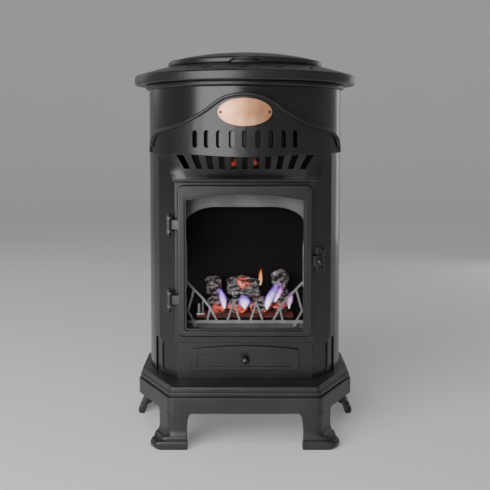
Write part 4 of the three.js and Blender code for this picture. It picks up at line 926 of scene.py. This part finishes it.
def make_world():
    world = bpy.data.worlds.new("studio")
    bpy.context.scene.world = world
    world.use_nodes = True
    sky = world.node_tree.nodes["Background"]
    sky.inputs["Color"].default_value = (*even(0.8), 1)
    sky.inputs["Strength"].default_value = 0.12


def make_lights():
    """A large soft key light from the left front; the others only trace edges."""
    middle = (0, 0, 0.42)
    area_light("key", (-1.15, -1.9, 0.88), middle, 2.0, 1.75, 56)
    area_light("top", (-0.25, -1.3, 2.1), middle, 1.8, 0.6, 9)
    area_light("edge", (1.4, 1.9, 0.8), middle, 0.3, 1.5, 3)
    area_light("back", (-2.0, 1.5, 1.4), middle, 1.0, 1.2, 4)


# ------------------------------------------------------------------ the stove


def base_rule(spot):
    """The base's top tier is well rounded, its lower tiers are half as much, and the edges
    below them and inside stay sharp."""
    outside = (
        abs(spot.x) > BASE_SIDE
        or abs(spot.y) > BASE_FRONT
        or abs(spot.x) + abs(spot.y) > BASE_CORNER
    )
    if not outside or spot.z < BASE_TIERS_FOOT:
        return 0.0
    return 1.0 if spot.z > BASE_TOP_TIER else 0.5


def door_rule(spot):
    """The door's outline is rounder than the rest of it."""
    low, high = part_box("door_frame")
    outline = (
        abs(spot.x) > DOOR_SIDE
        or spot.z > high[2] / MM - DOOR_BAND
        or spot.z < low[2] / MM + DOOR_BAND
    )
    return 1.0 if outline and spot.y < DOOR_FACE else 0.6


def dress_all():
    """Gives every node its finish and its rounded edges, and adds the pieces drawn here."""
    base_cast = black_casting("base_casting", 0.5, 0.36, 0.013, 0.023)
    rough_cast = black_casting("rough_black_casting", 0.38, 0.33, 0.007, 0.014)
    smooth_cast = black_casting("smooth_black_casting", 0.12, 0.3, 0.006, 0.011)
    hinge_cast = black_casting("hinge_casting", 0.12, 0.26, 0.05, 0.08)
    enamel = black_enamel()
    duct = duct_enamel()
    surround_grey = grey_plate("surround_grey", 0.17, 0.1, 0.45)
    fret_grey = grey_plate("fret_grey", 0.3, 0.16, 0.35)
    soot = soot_and_painted_shade_steel()
    steel = bare_steel()
    dark_steel = black_steel_work("blackened_steel", 0.03, 0.12, 0.2)
    dull_steel = black_steel_work("dull_steel", 0.02, 0.05, 0.4)
    copper = rose_copper()
    brass = turned_brass()
    coal = coal_ceramic()
    ember = glowing_embers()
    glass = fire_glass()
    knob_black = moulded_plastic("knob_black", (0.02, 0.02, 0.02))
    button_red = moulded_plastic("button_red", (0.35, 0.02, 0.015))

    # each finish, the width of its rounded edges in millimetres, and the nodes that have it
    plan = [
        (base_cast, 1.6, ["leg_front_left", "leg_front_right", "leg_rear_left", "leg_rear_right"]),
        (rough_cast, 1.4, ["collar", "top_plate"]),
        (rough_cast, 1.6, ["lid"]),
        (smooth_cast, 0.9, ["hood_casting", "front_casting", "drawer_section", "latch_keeper"]),
        (smooth_cast, 0.45, ["drawer_tray"]),
        (hinge_cast, 0.5, ["hinge_bracket_upper", "hinge_bracket_lower"]),
        (enamel, 0.3, ["drum_shell", "rear_panel"]),
        (enamel, 0, ["floor_plate", "control_panel"]),
        (duct, 0, ["partition"]),
        (surround_grey, 0.5, ["firebox_surround"]),
        (fret_grey, 0.2, ["fire_fret"]),
        # the firebox's sooted finish also holds painted shade: its colour is near zero
        (soot, 0, ["firebox_liner", "burner_tray"]),
        (steel, 0.3, ["glass_clip_left", "glass_clip_right", "drawer_runner_left",
                      "drawer_runner_right"]),
        (steel, 0, ["lid_pin", "pilot_burner", "valve_spindle", "gas_pipe"]),
        (dull_steel, 0.2, ["plaque_screw_left", "plaque_screw_right"]),
        (dark_steel, 0, ["hinge_pin_upper", "hinge_pin_lower", "latch_knob", "drawer_knob",
                         "keeper_screw_lower", "keeper_screw_upper"]),
        (copper, 0.25, ["plaque"]),
        (brass, 0.4, ["gas_valve", "inlet_tail"]),
        (knob_black, 0.5, ["control_knob", "igniter_body"]),
        (button_red, 0.6, ["igniter_button"]),
        (ember, 0, ["ember_bed"]),
    ]
    for material, width, nodes in plan:
        for node in nodes:
            dressed(node, material, width)
    NODES["door_glass"].data.materials.clear()
    NODES["door_glass"].data.materials.append(glass)
    dressed("base_plinth", base_cast, 4.2, 4, base_rule)
    dressed("door_frame", smooth_cast, 1.4, 2, door_rule)
    louvre(smooth_cast)
    trim(smooth_cast)

    coals = sorted(name for name in NODES if name.startswith("coal_"))
    for count, node in enumerate(coals):
        coal_lump(node, coal, count * COAL_SEED_STEP)
    flames()


# ------------------------------------------------------------------ run

make_camera()
make_world()
make_lights()
make_floor(floor_paint())
dress_all()
